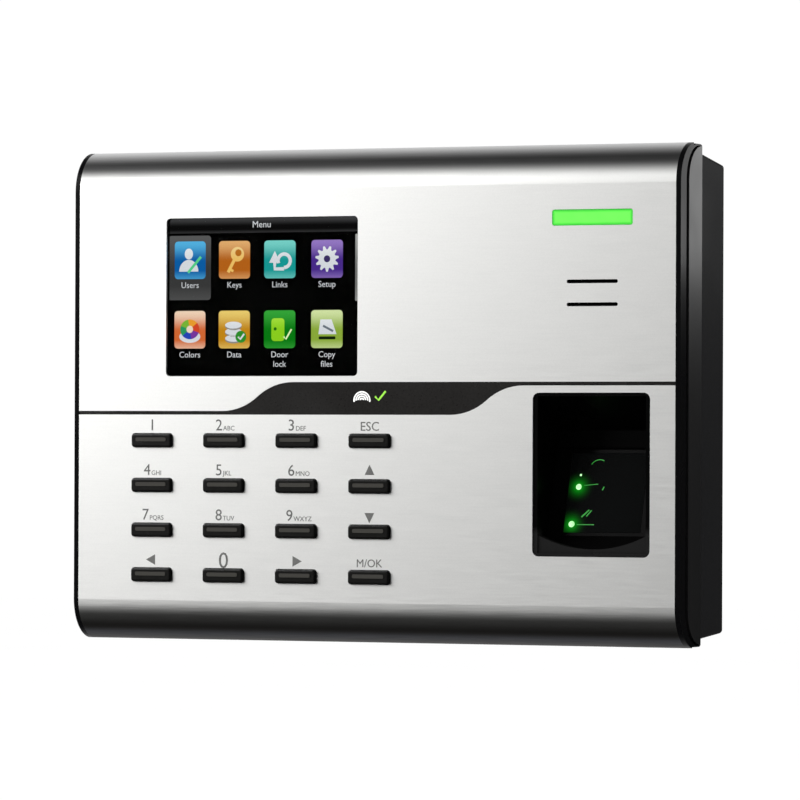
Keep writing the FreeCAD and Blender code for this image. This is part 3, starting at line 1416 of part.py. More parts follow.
SUBPARTS = [
    "wall_plate", "front_frame", "middle_frame", "rear_housing", "upper_panel", "lower_panel", "trim_band",
    "screen_window", "lcd_module", "lcd_bracket", "light_bar_lens", "indicator_board", "indicator_leds",
    "speaker", "speaker_cloth", "keypad_mat", "keypad_board", "sensor_bezel", "sensor_prism", "sensor_housing",
    "sensor_board", "sensor_lens", "sensor_leds", "main_board", "board_chips", "board_sockets",
    "capacitors", "coin_cell_holder", "coin_cell", "network_jack", "terminal_block", "usb_port",
    "tamper_switch", "tamper_plunger", "backup_battery", "speaker_leads", "battery_leads", "lcd_ribbon",
    "keypad_ribbon", "sensor_ribbon", "case_screws", "small_screws", "lock_insert", "security_screw",
] + [label for names in KEY_NAMES for label in names]


def labelled(label):
    """The one object that carries a sub-part's label."""
    return next(item for item in doc.Objects if item.Label == label)


def check():
    """Stop if an object failed, or a sub-part is empty or broken."""
    failed = [item.Name for item in doc.Objects if "Invalid" in item.State or "Error" in item.State]
    if failed:
        raise ValueError(f"failed objects: {failed}")
    for label in SUBPARTS:
        shape = labelled(label).Shape
        if shape.isNull() or not shape.isValid() or not shape.Solids:
            raise ValueError(f"{label} has no valid solid")


def export():
    """Write each sub-part to its own STEP file."""
    os.makedirs("parts", exist_ok=True)
    for label in SUBPARTS:
        shape = labelled(label).Shape
        shape.exportStep(f"parts/{label}.step")
        print(f"{label}: {len(shape.Solids)} solid(s), {shape.Volume:.1f} mm3")


build()
doc.recompute()
check()
export()
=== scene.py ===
# %% [markdown]
# # A fingerprint terminal, finished and lit
# The shape of this wall terminal comes from CAD: sheet panels, frames, keys, boards and screws, each
# one its own node. This lesson gives every node the finish of the real piece, prints the legends,
# draws the screen's menu, lights the finger window, and sets up a small studio around it.
# Everything is in metres, with the wall on the +Y side and the front facing -Y.

# %% Load the frame
import math

import bmesh
import bpy
from mathutils import Matrix, Vector


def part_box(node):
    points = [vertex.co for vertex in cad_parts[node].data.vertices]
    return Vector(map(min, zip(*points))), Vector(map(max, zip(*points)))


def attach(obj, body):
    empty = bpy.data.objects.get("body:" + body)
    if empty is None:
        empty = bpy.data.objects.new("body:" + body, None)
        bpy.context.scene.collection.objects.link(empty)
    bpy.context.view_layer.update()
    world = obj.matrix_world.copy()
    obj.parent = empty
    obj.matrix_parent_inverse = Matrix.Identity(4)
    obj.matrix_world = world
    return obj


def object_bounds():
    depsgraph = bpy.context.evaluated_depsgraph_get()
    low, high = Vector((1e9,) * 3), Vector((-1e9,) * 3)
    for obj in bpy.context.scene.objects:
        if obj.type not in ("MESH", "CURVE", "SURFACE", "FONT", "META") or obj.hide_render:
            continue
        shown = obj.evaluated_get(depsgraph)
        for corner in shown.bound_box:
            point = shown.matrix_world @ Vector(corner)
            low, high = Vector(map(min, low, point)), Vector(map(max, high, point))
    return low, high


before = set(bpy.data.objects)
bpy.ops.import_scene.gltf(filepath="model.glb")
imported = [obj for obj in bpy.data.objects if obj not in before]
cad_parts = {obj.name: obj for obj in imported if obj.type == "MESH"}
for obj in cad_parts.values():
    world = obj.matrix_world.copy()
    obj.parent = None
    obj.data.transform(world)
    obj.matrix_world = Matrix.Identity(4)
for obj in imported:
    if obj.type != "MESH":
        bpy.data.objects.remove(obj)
cad_box = [list(corner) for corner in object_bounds()]
MM = 0.001

# %% [markdown]
# ## Small tools
# Colours are written as sRGB hex values, because that is how paint and screen colours are quoted,
# and one function turns them into the linear numbers that shaders use. One more function adds a
# node, sets it and wires it, so a material reads as a short list of what feeds what.

# %% Colours and nodes
def from_hex(code):
    """An sRGB hex colour as linear red, green, blue and alpha."""
    channels = [int(code[place:place + 2], 16) / 255 for place in (1, 3, 5)]
    linear = [c / 12.92 if c <= 0.04045 else ((c + 0.055) / 1.055) ** 2.4 for c in channels]
    return (*linear, 1.0)


def add(tree, kind, inputs=None, **settings):
    """Add a node, apply its settings, then link or set each of its inputs."""
    node = tree.nodes.new(kind)
    for name, value in settings.items():
        setattr(node, name, value)
    for name, value in (inputs or {}).items():
        if isinstance(value, bpy.types.NodeSocket):
            tree.links.new(value, node.inputs[name])
        else:
            node.inputs[name].default_value = value
    return node


def start_finish(name, sockets):
    """A new material with one Principled shader, its sockets set by name."""
    finish = bpy.data.materials.new(name)
    finish.use_nodes = True
    tree = finish.node_tree
    tree.nodes.clear()
    shader = add(tree, "ShaderNodeBsdfPrincipled", sockets)
    add(tree, "ShaderNodeOutputMaterial", {"Surface": shader.outputs[0]})
    return finish, tree, shader


def give(finish, *nodes):
    """Put a finish on CAD nodes."""
    for node in nodes:
        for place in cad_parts[node].material_slots:
            place.material = finish
    print(finish.name, "on", len(nodes), "nodes")


print("white is", from_hex("#ffffff")[:3])

# %% [markdown]
# ## Moulded plastic
# Most of the black pieces are injection-moulded ABS. The mould leaves a fine spark-eroded grain on
# matt pieces and almost none on polished ones, and handling varies the gloss over a few centimetres.
# Both come from noise: a fine one for the grain's relief, and a broad one for the gloss.

# %% Moulded ABS
def moulded_abs(name, colour, roughness, grain_mm, relief_mm, gloss_spread=0.05, specular=0.5):
    """Moulded ABS: grain size and relief in millimetres, gloss that drifts a little."""
    finish, tree, shader = start_finish(name, {"IOR": 1.53, "Specular IOR Level": specular})
    place = add(tree, "ShaderNodeTexCoord").outputs["Object"]
    grain = add(tree, "ShaderNodeTexNoise", {
        "Vector": place, "Scale": 1 / (grain_mm * MM), "Detail": 3.0,
    })
    drift = add(tree, "ShaderNodeTexNoise", {"Vector": place, "Scale": 1 / (28 * MM), "Detail": 2.0})
    gloss = add(tree, "ShaderNodeMapRange", {
        "Value": drift.outputs["Fac"], "From Min": 0.3, "From Max": 0.7,
        "To Min": roughness - gloss_spread, "To Max": roughness + gloss_spread,
    })
    tint = add(tree, "ShaderNodeMapRange", {
        "Value": grain.outputs["Fac"], "From Min": 0.3, "From Max": 0.7, "To Min": 0.82, "To Max": 1.18,
    })
    shade = add(tree, "ShaderNodeVectorMath", {0: from_hex(colour)[:3], "Scale": tint.outputs[0]},
                operation="SCALE")
    relief = add(tree, "ShaderNodeBump", {
        "Height": grain.outputs["Fac"], "Distance": relief_mm * MM, "Strength": 0.6,
    })
    tree.links.new(shade.outputs[0], shader.inputs["Base Color"])
    tree.links.new(gloss.outputs[0], shader.inputs["Roughness"])
    tree.links.new(relief.outputs[0], shader.inputs["Normal"])
    return finish


give(moulded_abs("polished_black_abs", "#060607", 0.3, 0.5, 0.0005, specular=0.04), "front_frame")
give(moulded_abs("band_black_abs", "#191817", 0.25, 0.5, 0.001, specular=0.25), "trim_band")
give(moulded_abs("satin_black_abs", "#0e0e0f", 0.42, 0.35, 0.004), "middle_frame")
give(moulded_abs("eroded_black_abs", "#1d1d1e", 0.55, 0.4, 0.02, specular=0.03),
     "rear_housing", "sensor_housing")
give(moulded_abs("lens_barrel_black", "#101010", 0.4, 0.3, 0.004), "sensor_lens")
give(moulded_abs("chip_epoxy", "#1c1c1e", 0.6, 0.15, 0.004),
     "board_chips", "coin_cell_holder", "tamper_switch")
give(moulded_abs("socket_nylon", "#cfc6ae", 0.5, 0.3, 0.003), "board_sockets")
give(moulded_abs("terminal_nylon", "#1c6b33", 0.45, 0.3, 0.003), "terminal_block")
give(moulded_abs("plunger_acetal", "#a81c18", 0.35, 0.3, 0.002), "tamper_plunger")
give(moulded_abs("speaker_frame_abs", "#141414", 0.5, 0.3, 0.006), "speaker")
give(moulded_abs("lamp_epoxy", "#e6e4d2", 0.2, 0.4, 0.001), "indicator_leds")

# %% [markdown]
# ## The finger well
# The well is almost black inside. Its lower lip faces the light, and the paler grey there is painted light,
# worked out from the height and from the depth behind the front.

# %% Painted light on the lip of the well
front_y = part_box("lower_panel")[0][1]
LIP_TOP_Z, LIP_FOOT_Z = -35 * MM, -37 * MM
LIT_DEPTH, UNLIT_DEPTH = 3.5 * MM, 4.5 * MM
well_black = moulded_abs("well_black_abs", "#020202", 0.28, 0.5, 0.001, specular=0.1)
tree = well_black.node_tree
shader = tree.nodes["Principled BSDF"]
plain_black = shader.inputs["Base Color"].links[0].from_socket
place = add(tree, "ShaderNodeTexCoord").outputs["Object"]
spot = add(tree, "ShaderNodeSeparateXYZ", {0: place})
low_down = add(tree, "ShaderNodeMapRange", {
    "Value": spot.outputs["Z"], "From Min": LIP_TOP_Z, "From Max": LIP_FOOT_Z,
    "To Min": 0.0, "To Max": 1.0,
})
shallow = add(tree, "ShaderNodeMapRange", {
    "Value": spot.outputs["Y"], "From Min": front_y + UNLIT_DEPTH, "From Max": front_y + LIT_DEPTH,
    "To Min": 0.0, "To Max": 1.0,
})
lip_light_mask = add(tree, "ShaderNodeMath", {0: low_down.outputs[0], 1: shallow.outputs[0]}, operation="MULTIPLY")
# Painted light: the low, shallow part of the lip is painted a paler grey where it catches the light.
lit_lip = add(tree, "ShaderNodeMix", {
    "Factor": lip_light_mask.outputs[0], 6: plain_black, 7: from_hex("#171717"),
}, data_type="RGBA")
tree.links.new(lit_lip.outputs[2], shader.inputs["Base Color"])
give(well_black, "sensor_bezel")

# %% [markdown]
# ## Keys
# The keys are polished black ABS too. Fingers polish the raised bar, so it is glossier than the duller cap
# around it, and the bar's lighter grey is a painted highlight. Depth behind the key's front tells the two
# apart.

# %% Keys with a polished bar and a painted highlight
KEY_NODES = [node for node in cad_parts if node.startswith("key_")]
key_front_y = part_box(KEY_NODES[0])[0][1]
BAR_RISE = 0.25 * MM

finish, tree, shader = start_finish("key_black_abs", {"IOR": 1.53, "Specular IOR Level": 0.25})
place = add(tree, "ShaderNodeTexCoord").outputs["Object"]
depth = add(tree, "ShaderNodeSeparateXYZ", {0: place}).outputs["Y"]
wear_and_highlight_mask = add(tree, "ShaderNodeMapRange", {
    "Value": depth, "From Min": key_front_y, "From Max": key_front_y + BAR_RISE,
    "To Min": 0.0, "To Max": 1.0,
})
smears = add(tree, "ShaderNodeTexNoise", {"Vector": place, "Scale": 1 / (2.5 * MM), "Detail": 4.0})
dull = add(tree, "ShaderNodeMath", {0: wear_and_highlight_mask.outputs[0], 1: 0.08, 2: 0.12}, operation="MULTIPLY_ADD")
gloss = add(tree, "ShaderNodeMath", {0: smears.outputs["Fac"], 1: 0.12, 2: dull.outputs[0]},
            operation="MULTIPLY_ADD")
# Painted highlight: the raised bar is painted a lighter grey than the near-black cap.
shade = add(tree, "ShaderNodeMix", {
    "Factor": wear_and_highlight_mask.outputs[0], 6: from_hex("#33322f"), 7: from_hex("#030303"),
}, data_type="RGBA")
tree.links.new(shade.outputs[2], shader.inputs["Base Color"])
tree.links.new(gloss.outputs[0], shader.inputs["Roughness"])
give(finish, *KEY_NODES)

# %% [markdown]
# ## Anodised sheet
# The two front panels are thin aluminium, blasted and lightly brushed along X before anodising. A
# stretched noise makes the brush lines: a real line is about 0.05 mm wide, too fine to show, so it is
# drawn at 0.35 mm. The flat of the sheet is pale. The dark grey of each rolled edge is painted shade,
# darker as the edge turns away; the lower edge carries a paler painted reflection band, and the upper
# one ends in a painted highlight. A few tones say this, each at its height in millimetres from the
# middle, and the ramp eases from one to the next.

# %% Panels
sheet_low, sheet_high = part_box("lower_panel")[0][2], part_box("upper_panel")[1][2]
# FLAT is the sheet's own colour; the other tones are painted shade, a painted reflection band and a painted
# highlight.
FLAT, PAINTED_SHADE, PAINTED_EDGE_HIGHLIGHT = "#f1f1ef", "#525252", "#f4f4f4"
DEEP_PAINTED_SHADE, PAINTED_REFLECTION_BAND, PAINTED_HALF_SHADE = "#363432", "#505156", "#787876"
ROLL_PAINTED_TONES = (
    (-67.1, DEEP_PAINTED_SHADE), (-65.0, PAINTED_REFLECTION_BAND), (-63.6, DEEP_PAINTED_SHADE), (-60.5, PAINTED_HALF_SHADE), (-57.2, FLAT),
    (57.0, FLAT), (62.4, PAINTED_SHADE), (63.3, PAINTED_SHADE), (66.6, PAINTED_EDGE_HIGHLIGHT),
)

finish, tree, shader = start_finish("anodised_sheet", {"Metallic": 1.0})
place = add(tree, "ShaderNodeTexCoord").outputs["Object"]
height = add(tree, "ShaderNodeSeparateXYZ", {0: place}).outputs["Z"]
ramp_place = add(tree, "ShaderNodeMapRange", {
    "Value": height, "From Min": sheet_low, "From Max": sheet_high,
})
# This ramp paints the shade, reflection band and highlight of the rolled edges into the sheet's colour.
sheet_tone_and_painted_shade = add(tree, "ShaderNodeValToRGB", {"Fac": ramp_place.outputs[0]})
sheet_tone_and_painted_shade.color_ramp.interpolation = "EASE"
stops = sheet_tone_and_painted_shade.color_ramp.elements
stops.remove(stops[1])
stops[0].color = from_hex(ROLL_PAINTED_TONES[0][1])
for height_mm, code in ROLL_PAINTED_TONES[1:]:
    stop = stops.new((height_mm * MM - sheet_low) / (sheet_high - sheet_low))
    stop.color = from_hex(code)
stretch = add(tree, "ShaderNodeMapping", {
    "Vector": place, "Scale": (1 / (9 * MM), 1 / (0.35 * MM), 1 / (0.35 * MM)),
})
lines = add(tree, "ShaderNodeTexNoise", {"Vector": stretch.outputs[0], "Scale": 1.0, "Detail": 4.0})
blast = add(tree, "ShaderNodeTexNoise", {"Vector": place, "Scale": 1 / (0.45 * MM), "Detail": 2.0})
mixed = add(tree, "ShaderNodeMath", {0: lines.outputs["Fac"], 1: blast.outputs["Fac"]}, operation="ADD")
level = add(tree, "ShaderNodeMapRange", {
    "Value": mixed.outputs[0], "From Min": 0.7, "From Max": 1.3, "To Min": 0.975, "To Max": 1.015,
})
shade = add(tree, "ShaderNodeVectorMath", {0: sheet_tone_and_painted_shade.outputs["Color"], "Scale": level.outputs[0]},
            operation="SCALE")
gloss = add(tree, "ShaderNodeMapRange", {
    "Value": lines.outputs["Fac"], "From Min": 0.3, "From Max": 0.7, "To Min": 0.5, "To Max": 0.58,
})
relief = add(tree, "ShaderNodeBump", {
    "Height": mixed.outputs[0], "Distance": 0.004 * MM, "Strength": 0.5,
})
tree.links.new(shade.outputs[0], shader.inputs["Base Color"])
tree.links.new(gloss.outputs[0], shader.inputs["Roughness"])
tree.links.new(relief.outputs[0], shader.inputs["Normal"])
give(finish, "upper_panel", "lower_panel")

# %% [markdown]
# ## Clear and lit parts
# The screen window is polished acrylic, and the glass of the finger window is dark optical glass.
# The indicator bar is green acrylic lit from behind: brightest in the middle and darker where the
# lamps' light runs out, near its edges.

# %% Acrylic and glass
finish, tree, shader = start_finish("clear_acrylic", {
    "Transmission Weight": 1.0, "IOR": 1.15, "Base Color": from_hex("#f4f6f6"),
})
place = add(tree, "ShaderNodeTexCoord").outputs["Object"]
wipes = add(tree, "ShaderNodeTexNoise", {"Vector": place, "Scale": 1 / (12 * MM), "Detail": 3.0})
haze = add(tree, "ShaderNodeMapRange", {
    "Value": wipes.outputs["Fac"], "From Min": 0.3, "From Max": 0.7, "To Min": 0.0, "To Max": 0.02,
})
tree.links.new(haze.outputs[0], shader.inputs["Roughness"])
give(finish, "screen_window")

# %% The indicator bar
bar_low, bar_high = (Vector(corner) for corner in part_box("light_bar_lens"))
bar_middle = (bar_low + bar_high) / 2
BAR_HALF_SIZES = (11.45 * MM, 2.05 * MM)
BAR_FADE = 0.9 * MM

finish, tree, shader = start_finish("lit_green_acrylic", {
    "Base Color": from_hex("#1f7a1a"), "Roughness": 0.3, "IOR": 1.49, "Emission Strength": 1.0,
})
place = add(tree, "ShaderNodeTexCoord").outputs["Object"]
offset = add(tree, "ShaderNodeVectorMath", {0: place, 1: bar_middle}, operation="SUBTRACT")
spot = add(tree, "ShaderNodeSeparateXYZ", {0: offset.outputs[0]})
edges = []
for axis, half in zip(("X", "Z"), BAR_HALF_SIZES):
    away = add(tree, "ShaderNodeMath", {0: spot.outputs[axis]}, operation="ABSOLUTE")
    edges.append(add(tree, "ShaderNodeMapRange", {
        "Value": away.outputs[0], "From Min": half - BAR_FADE, "From Max": half,
        "To Min": 0.0, "To Max": 1.0,
    }).outputs[0])
rim = add(tree, "ShaderNodeMath", {0: edges[0], 1: edges[1]}, operation="MAXIMUM")
mottle = add(tree, "ShaderNodeTexNoise", {"Vector": place, "Scale": 1 / (3 * MM), "Detail": 2.0})
fall = add(tree, "ShaderNodeMath", {0: mottle.outputs["Fac"], 1: 0.25, 2: rim.outputs[0]},
           operation="MULTIPLY_ADD")
light = add(tree, "ShaderNodeMix", {
    "Factor": fall.outputs[0], 6: from_hex("#74f55a"), 7: from_hex("#23a826"),
}, data_type="RGBA")
tree.links.new(light.outputs[2], shader.inputs["Emission Color"])
give(finish, "light_bar_lens")

# %% Dark optical glass, with the glow of the two lamps behind it painted on as emission
LAMP_SPOTS = (
    (56.1 * MM, front_y + 11.4 * MM, -24.5 * MM),
    (55.3 * MM, front_y + 8.3 * MM, -34.4 * MM),
)
HALO_REACH = 5.5 * MM
finish, tree, shader = start_finish("dark_optical_glass", {
    "Base Color": from_hex("#050606"), "Roughness": 0.12, "IOR": 1.5, "Specular IOR Level": 0.35,
    "Emission Strength": 1.0,
})
place = add(tree, "ShaderNodeTexCoord").outputs["Object"]
halos = []
for spot in LAMP_SPOTS:
    away = add(tree, "ShaderNodeVectorMath", {0: place, 1: spot}, operation="DISTANCE")
    near = add(tree, "ShaderNodeMapRange", {
        "Value": away.outputs["Value"], "From Min": 0.0, "From Max": HALO_REACH,
        "To Min": 1.0, "To Max": 0.0,
    })
    halos.append(add(tree, "ShaderNodeMath", {0: near.outputs[0], 1: 4.0}, operation="POWER").outputs[0])
both = add(tree, "ShaderNodeMath", {0: halos[0], 1: halos[1]}, operation="ADD")
glow = add(tree, "ShaderNodeVectorMath", {0: from_hex("#08b81c")[:3], "Scale": both.outputs[0]},
           operation="SCALE")
tree.links.new(glow.outputs[0], shader.inputs["Emission Color"])
give(finish, "sensor_prism")

# %% [markdown]
# ## Metals
# The wall plate, bracket and screws are zinc-plated steel. Plating has a faint crystal bloom of a few
# millimetres and rolled sheet has lines along its length, so one function makes both and is given
# how strong each one is. Brass, the can's aluminium and the cell use the same idea.

# %% Plated and drawn metal
def plated_metal(name, colour, roughness, bloom_mm, line_mm):
    """Plated metal: bloom size and rolling line width in millimetres."""
    finish, tree, shader = start_finish(name, {"Metallic": 1.0})
    place = add(tree, "ShaderNodeTexCoord").outputs["Object"]
    bloom = add(tree, "ShaderNodeTexVoronoi", {"Vector": place, "Scale": 1 / (bloom_mm * MM)})
    stretch = add(tree, "ShaderNodeMapping", {
        "Vector": place, "Scale": (1 / (20 * MM), 1 / (line_mm * MM), 1 / (line_mm * MM)),
    })
    lines = add(tree, "ShaderNodeTexNoise", {"Vector": stretch.outputs[0], "Scale": 1.0, "Detail": 3.0})
    patch = add(tree, "ShaderNodeSeparateColor", {0: bloom.outputs["Color"]})
    tint = add(tree, "ShaderNodeMapRange", {"Value": patch.outputs[0], "To Min": 0.88, "To Max": 1.06})
    shade = add(tree, "ShaderNodeVectorMath", {0: from_hex(colour)[:3], "Scale": tint.outputs[0]},
                operation="SCALE")
    gloss = add(tree, "ShaderNodeMapRange", {
        "Value": lines.outputs["Fac"], "From Min": 0.3, "From Max": 0.7,
        "To Min": roughness - 0.06, "To Max": roughness + 0.06,
    })
    relief = add(tree, "ShaderNodeBump", {
        "Height": lines.outputs["Fac"], "Distance": 0.004 * MM, "Strength": 0.6,
    })
    tree.links.new(shade.outputs[0], shader.inputs["Base Color"])
    tree.links.new(gloss.outputs[0], shader.inputs["Roughness"])
    tree.links.new(relief.outputs[0], shader.inputs["Normal"])
    return finish


give(plated_metal("zinc_plated_plate", "#b9bcbf", 0.42, 3.0, 0.4), "wall_plate")
give(plated_metal("zinc_plated_bracket", "#aeb1b3", 0.4, 3.0, 0.4), "lcd_bracket")
give(plated_metal("zinc_plated_screws", "#b4b6b8", 0.3, 1.0, 0.2),
     "case_screws", "small_screws", "security_screw")
give(plated_metal("tinned_shell", "#c9cacb", 0.25, 2.0, 0.3), "network_jack", "usb_port")
give(plated_metal("drawn_can", "#c4c5c9", 0.3, 2.0, 0.3), "capacitors")
give(plated_metal("bright_cell", "#cfd0d0", 0.2, 4.0, 0.3), "coin_cell")
give(plated_metal("knurled_brass", "#c99c4a", 0.3, 1.0, 0.3), "lock_insert")

# %% [markdown]
# ## Boards, wraps and soft pieces
# Circuit boards are glass-epoxy under green solder mask, with copper lines a little raised below it:
# a brick pattern stands for the lines. The keypad mat is grey silicone, the speaker cloth a woven
# mesh with 0.6 mm threads, the flat cables amber film with lines along them, and the battery a
# blue shrink wrap with fine wrinkles.

# %% Solder mask over copper
finish, tree, shader = start_finish("solder_mask_board", {"Roughness": 0.32, "IOR": 1.55})
place = add(tree, "ShaderNodeTexCoord").outputs["Object"]
flat = add(tree, "ShaderNodeMapping", {
    "Vector": place, "Rotation": (math.pi / 2, 0, 0), "Scale": (1 / (4 * MM),) * 3,
})
traces = add(tree, "ShaderNodeTexBrick", {
    "Vector": flat.outputs[0], "Color1": from_hex("#0d4a26"), "Color2": from_hex("#10552c"),
    "Mortar": from_hex("#1d7a41"), "Scale": 1.0, "Mortar Size": 0.06, "Brick Width": 1.7,
    "Row Height": 0.4,
}, offset=0.37)
relief = add(tree, "ShaderNodeBump", {
    "Height": traces.outputs["Fac"], "Distance": 0.03 * MM, "Strength": 0.5,
})
tree.links.new(traces.outputs["Color"], shader.inputs["Base Color"])
tree.links.new(relief.outputs[0], shader.inputs["Normal"])
give(finish, "main_board", "keypad_board", "sensor_board", "indicator_board")

# %% Silicone, cloth, film, wrap and insulation
def soft_skin(name, colour, other, roughness, wave_mm, relief_mm, axis="X"):
    """A skin with parallel lines: a weave, a film's conductors or a wrap's wrinkles."""
    finish, tree, shader = start_finish(name, {"Roughness": roughness, "IOR": 1.45})
    place = add(tree, "ShaderNodeTexCoord").outputs["Object"]
    waves = add(tree, "ShaderNodeTexWave", {
        "Vector": place, "Scale": math.tau / (20 * wave_mm * MM), "Distortion": 0.6, "Detail": 1.0,
    }, bands_direction=axis)
    shade = add(tree, "ShaderNodeMix", {
        "Factor": waves.outputs["Fac"], 6: from_hex(colour), 7: from_hex(other),
    }, data_type="RGBA")
    relief = add(tree, "ShaderNodeBump", {
        "Height": waves.outputs["Fac"], "Distance": relief_mm * MM, "Strength": 0.6,
    })
    tree.links.new(shade.outputs[2], shader.inputs["Base Color"])
    tree.links.new(relief.outputs[0], shader.inputs["Normal"])
    return finish


give(soft_skin("grey_silicone", "#74767a", "#7d7f83", 0.6, 3.0, 0.004), "keypad_mat")
give(soft_skin("speaker_mesh", "#0d0d0d", "#2b2b2b", 0.85, 0.6, 0.08), "speaker_cloth")
give(soft_skin("amber_film", "#9c5a1e", "#c98a3c", 0.35, 1.0, 0.01), "lcd_ribbon", "keypad_ribbon")
give(soft_skin("amber_film_upright", "#9c5a1e", "#c98a3c", 0.35, 1.0, 0.01, "Z"), "sensor_ribbon")
give(soft_skin("blue_shrink_wrap", "#1c3f8f", "#24509f", 0.3, 6.0, 0.03, "DIAGONAL"), "backup_battery")
give(soft_skin("red_insulation", "#9e1512", "#b31d18", 0.45, 2.0, 0.004),
     "speaker_leads", "battery_leads")

# %% [markdown]
# ## Printed and drawn artwork
# Legends, icons and the emblem are flat. Each one is built from outlines in the front plane, made
# into thin closed layers, so that they keep their edges when the model is seen from close by. A
# layer is 0.03 mm thick, and each one lies on the one before it, as printed ink does. Capitals in the
# font are 0.69 of its size.

# %% Outlines
LAYER = 0.03 * MM
CAPITAL_SHARE = 0.69


def rounded(x, z, width, height, radius, steps=5):
    """Outline of a rectangle with rounded corners about a centre, in millimetres."""
    outline = []
    for across, up, start in ((1, 1, 0), (-1, 1, 90), (-1, -1, 180), (1, -1, 270)):
        for step in range(steps + 1):
            angle = math.radians(start + 90 * step / steps)
            outline.append((x + across * (width / 2 - radius) + radius * math.cos(angle),
                            z + up * (height / 2 - radius) + radius * math.sin(angle)))
    return outline


def disc(x, z, across, up=None, start=0, turn=360, steps=24):
    """Outline of an ellipse or of a slice of one, in millimetres."""
    up = across if up is None else up
    count = steps if turn == 360 else steps + 1
    outline = [(x + across * math.cos(math.radians(start + turn * step / steps)),
                z + up * math.sin(math.radians(start + turn * step / steps))) for step in range(count)]
    return outline if turn == 360 else outline + [(x, z)]


def stroke(points, width):
    """Outline of a bent line of even width, in millimetres."""
    spots = [Vector(point) for point in points]
    left, right = [], []
    for place, spot in enumerate(spots):
        before = spots[max(place - 1, 0)]
        after = spots[min(place + 1, len(spots) - 1)]
        along = (after - before).normalized()
        side = Vector((-along.y, along.x)) * width / 2
        left.append(tuple(spot + side))
        right.append(tuple(spot - side))
    return left + right[::-1]


def arc(x, z, radius, start, end, width, steps=14):
    """Outline of a curved line, in millimetres and degrees."""
    angles = [math.radians(start + (end - start) * step / steps) for step in range(steps + 1)]
    return stroke([(x + radius * math.cos(a), z + radius * math.sin(a)) for a in angles], width)


print("a rounded tile has", len(rounded(0, 0, 4, 4, 1)), "points")

# %% Layers of ink
def add_layer(mesh, outline, back_y, slot_number):
    """One closed layer of ink on an outline: it reaches one layer's thickness towards the viewer."""
    corners = [mesh.verts.new((x * MM, back_y, z * MM)) for x, z in outline]
    face = mesh.faces.new(corners)
    raised = bmesh.ops.extrude_face_region(mesh, geom=[face])["geom"]
    moved = [item for item in raised if isinstance(item, bmesh.types.BMVert)]
    bmesh.ops.translate(mesh, verts=moved, vec=(0, -LAYER, 0))
    touched = {face} | {near for vert in moved for near in vert.link_faces}
    for near in touched:
        near.material_index = slot_number
        near.smooth = False


def artwork(name, shapes, y, body):
    """A piece of artwork: each shape is (finish, outline, layer number)."""
    finishes = []
    mesh = bmesh.new()
    for finish, outline, layer in shapes:
        if finish not in finishes:
            finishes.append(finish)
        add_layer(mesh, outline, y - layer * LAYER, finishes.index(finish))
    bmesh.ops.recalc_face_normals(mesh, faces=mesh.faces)
    data = bpy.data.meshes.new(name)
    mesh.to_mesh(data)
    mesh.free()
    for finish in finishes:
        data.materials.append(finish)
    piece = bpy.data.objects.new(name, data)
    bpy.context.scene.collection.objects.link(piece)
    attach(piece, body)
    print(name, "has", len(shapes), "shapes")
    return piece


def lettering(name, words, y, finish, body):
    """Several words as one piece: each is (text, x, z, cap height in mm, alignment)."""
    mesh = bmesh.new()
    for text, x, z, size, align in words:
        curve = bpy.data.curves.new("word", "FONT")
        curve.body = text
        curve.align_x = align
        curve.size = size * MM / CAPITAL_SHARE
        curve.extrude = LAYER / 2
        curve.resolution_u = 3
        word = bpy.data.objects.new("word", curve)
        bpy.context.scene.collection.objects.link(word)
        bpy.context.view_layer.update()
        solid = word.to_mesh()
        upright = Matrix.Rotation(math.pi / 2, 4, "X")
        solid.transform(Matrix.Translation((x * MM, y - LAYER / 2, z * MM)) @ upright)
        mesh.from_mesh(solid)
        word.to_mesh_clear()
        bpy.data.objects.remove(word)
        bpy.data.curves.remove(curve)
    data = bpy.data.meshes.new(name)
    mesh.to_mesh(data)
    mesh.free()
    data.materials.append(finish)
    piece = bpy.data.objects.new(name, data)
    bpy.context.scene.collection.objects.link(piece)
    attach(piece, body)
    print(name, "has", len(words), "words")
    return piece


# %% [markdown]
# ## Key legends
# The legends are screen-printed in dark grey ink above each key: a digit, with the letters of an
# old telephone pad small beside it, arrows, and two words. Ink is matt and soaks in unevenly, so
# its grey varies a little.

# %% Ink and legends
def printed_ink(name, thin, thick, sockets):
    """Screen-printed ink: its colour where it soaks in thin, and where it lies thick."""
    finish, tree, shader = start_finish(name, sockets)
    place = add(tree, "ShaderNodeTexCoord").outputs["Object"]
    soak = add(tree, "ShaderNodeTexNoise", {"Vector": place, "Scale": 1 / (0.6 * MM), "Detail": 3.0})
    shade = add(tree, "ShaderNodeMix", {
        "Factor": soak.outputs["Fac"], 6: from_hex(thin), 7: from_hex(thick),
    }, data_type="RGBA")
    tree.links.new(shade.outputs[2], shader.inputs["Base Color"])
    return finish


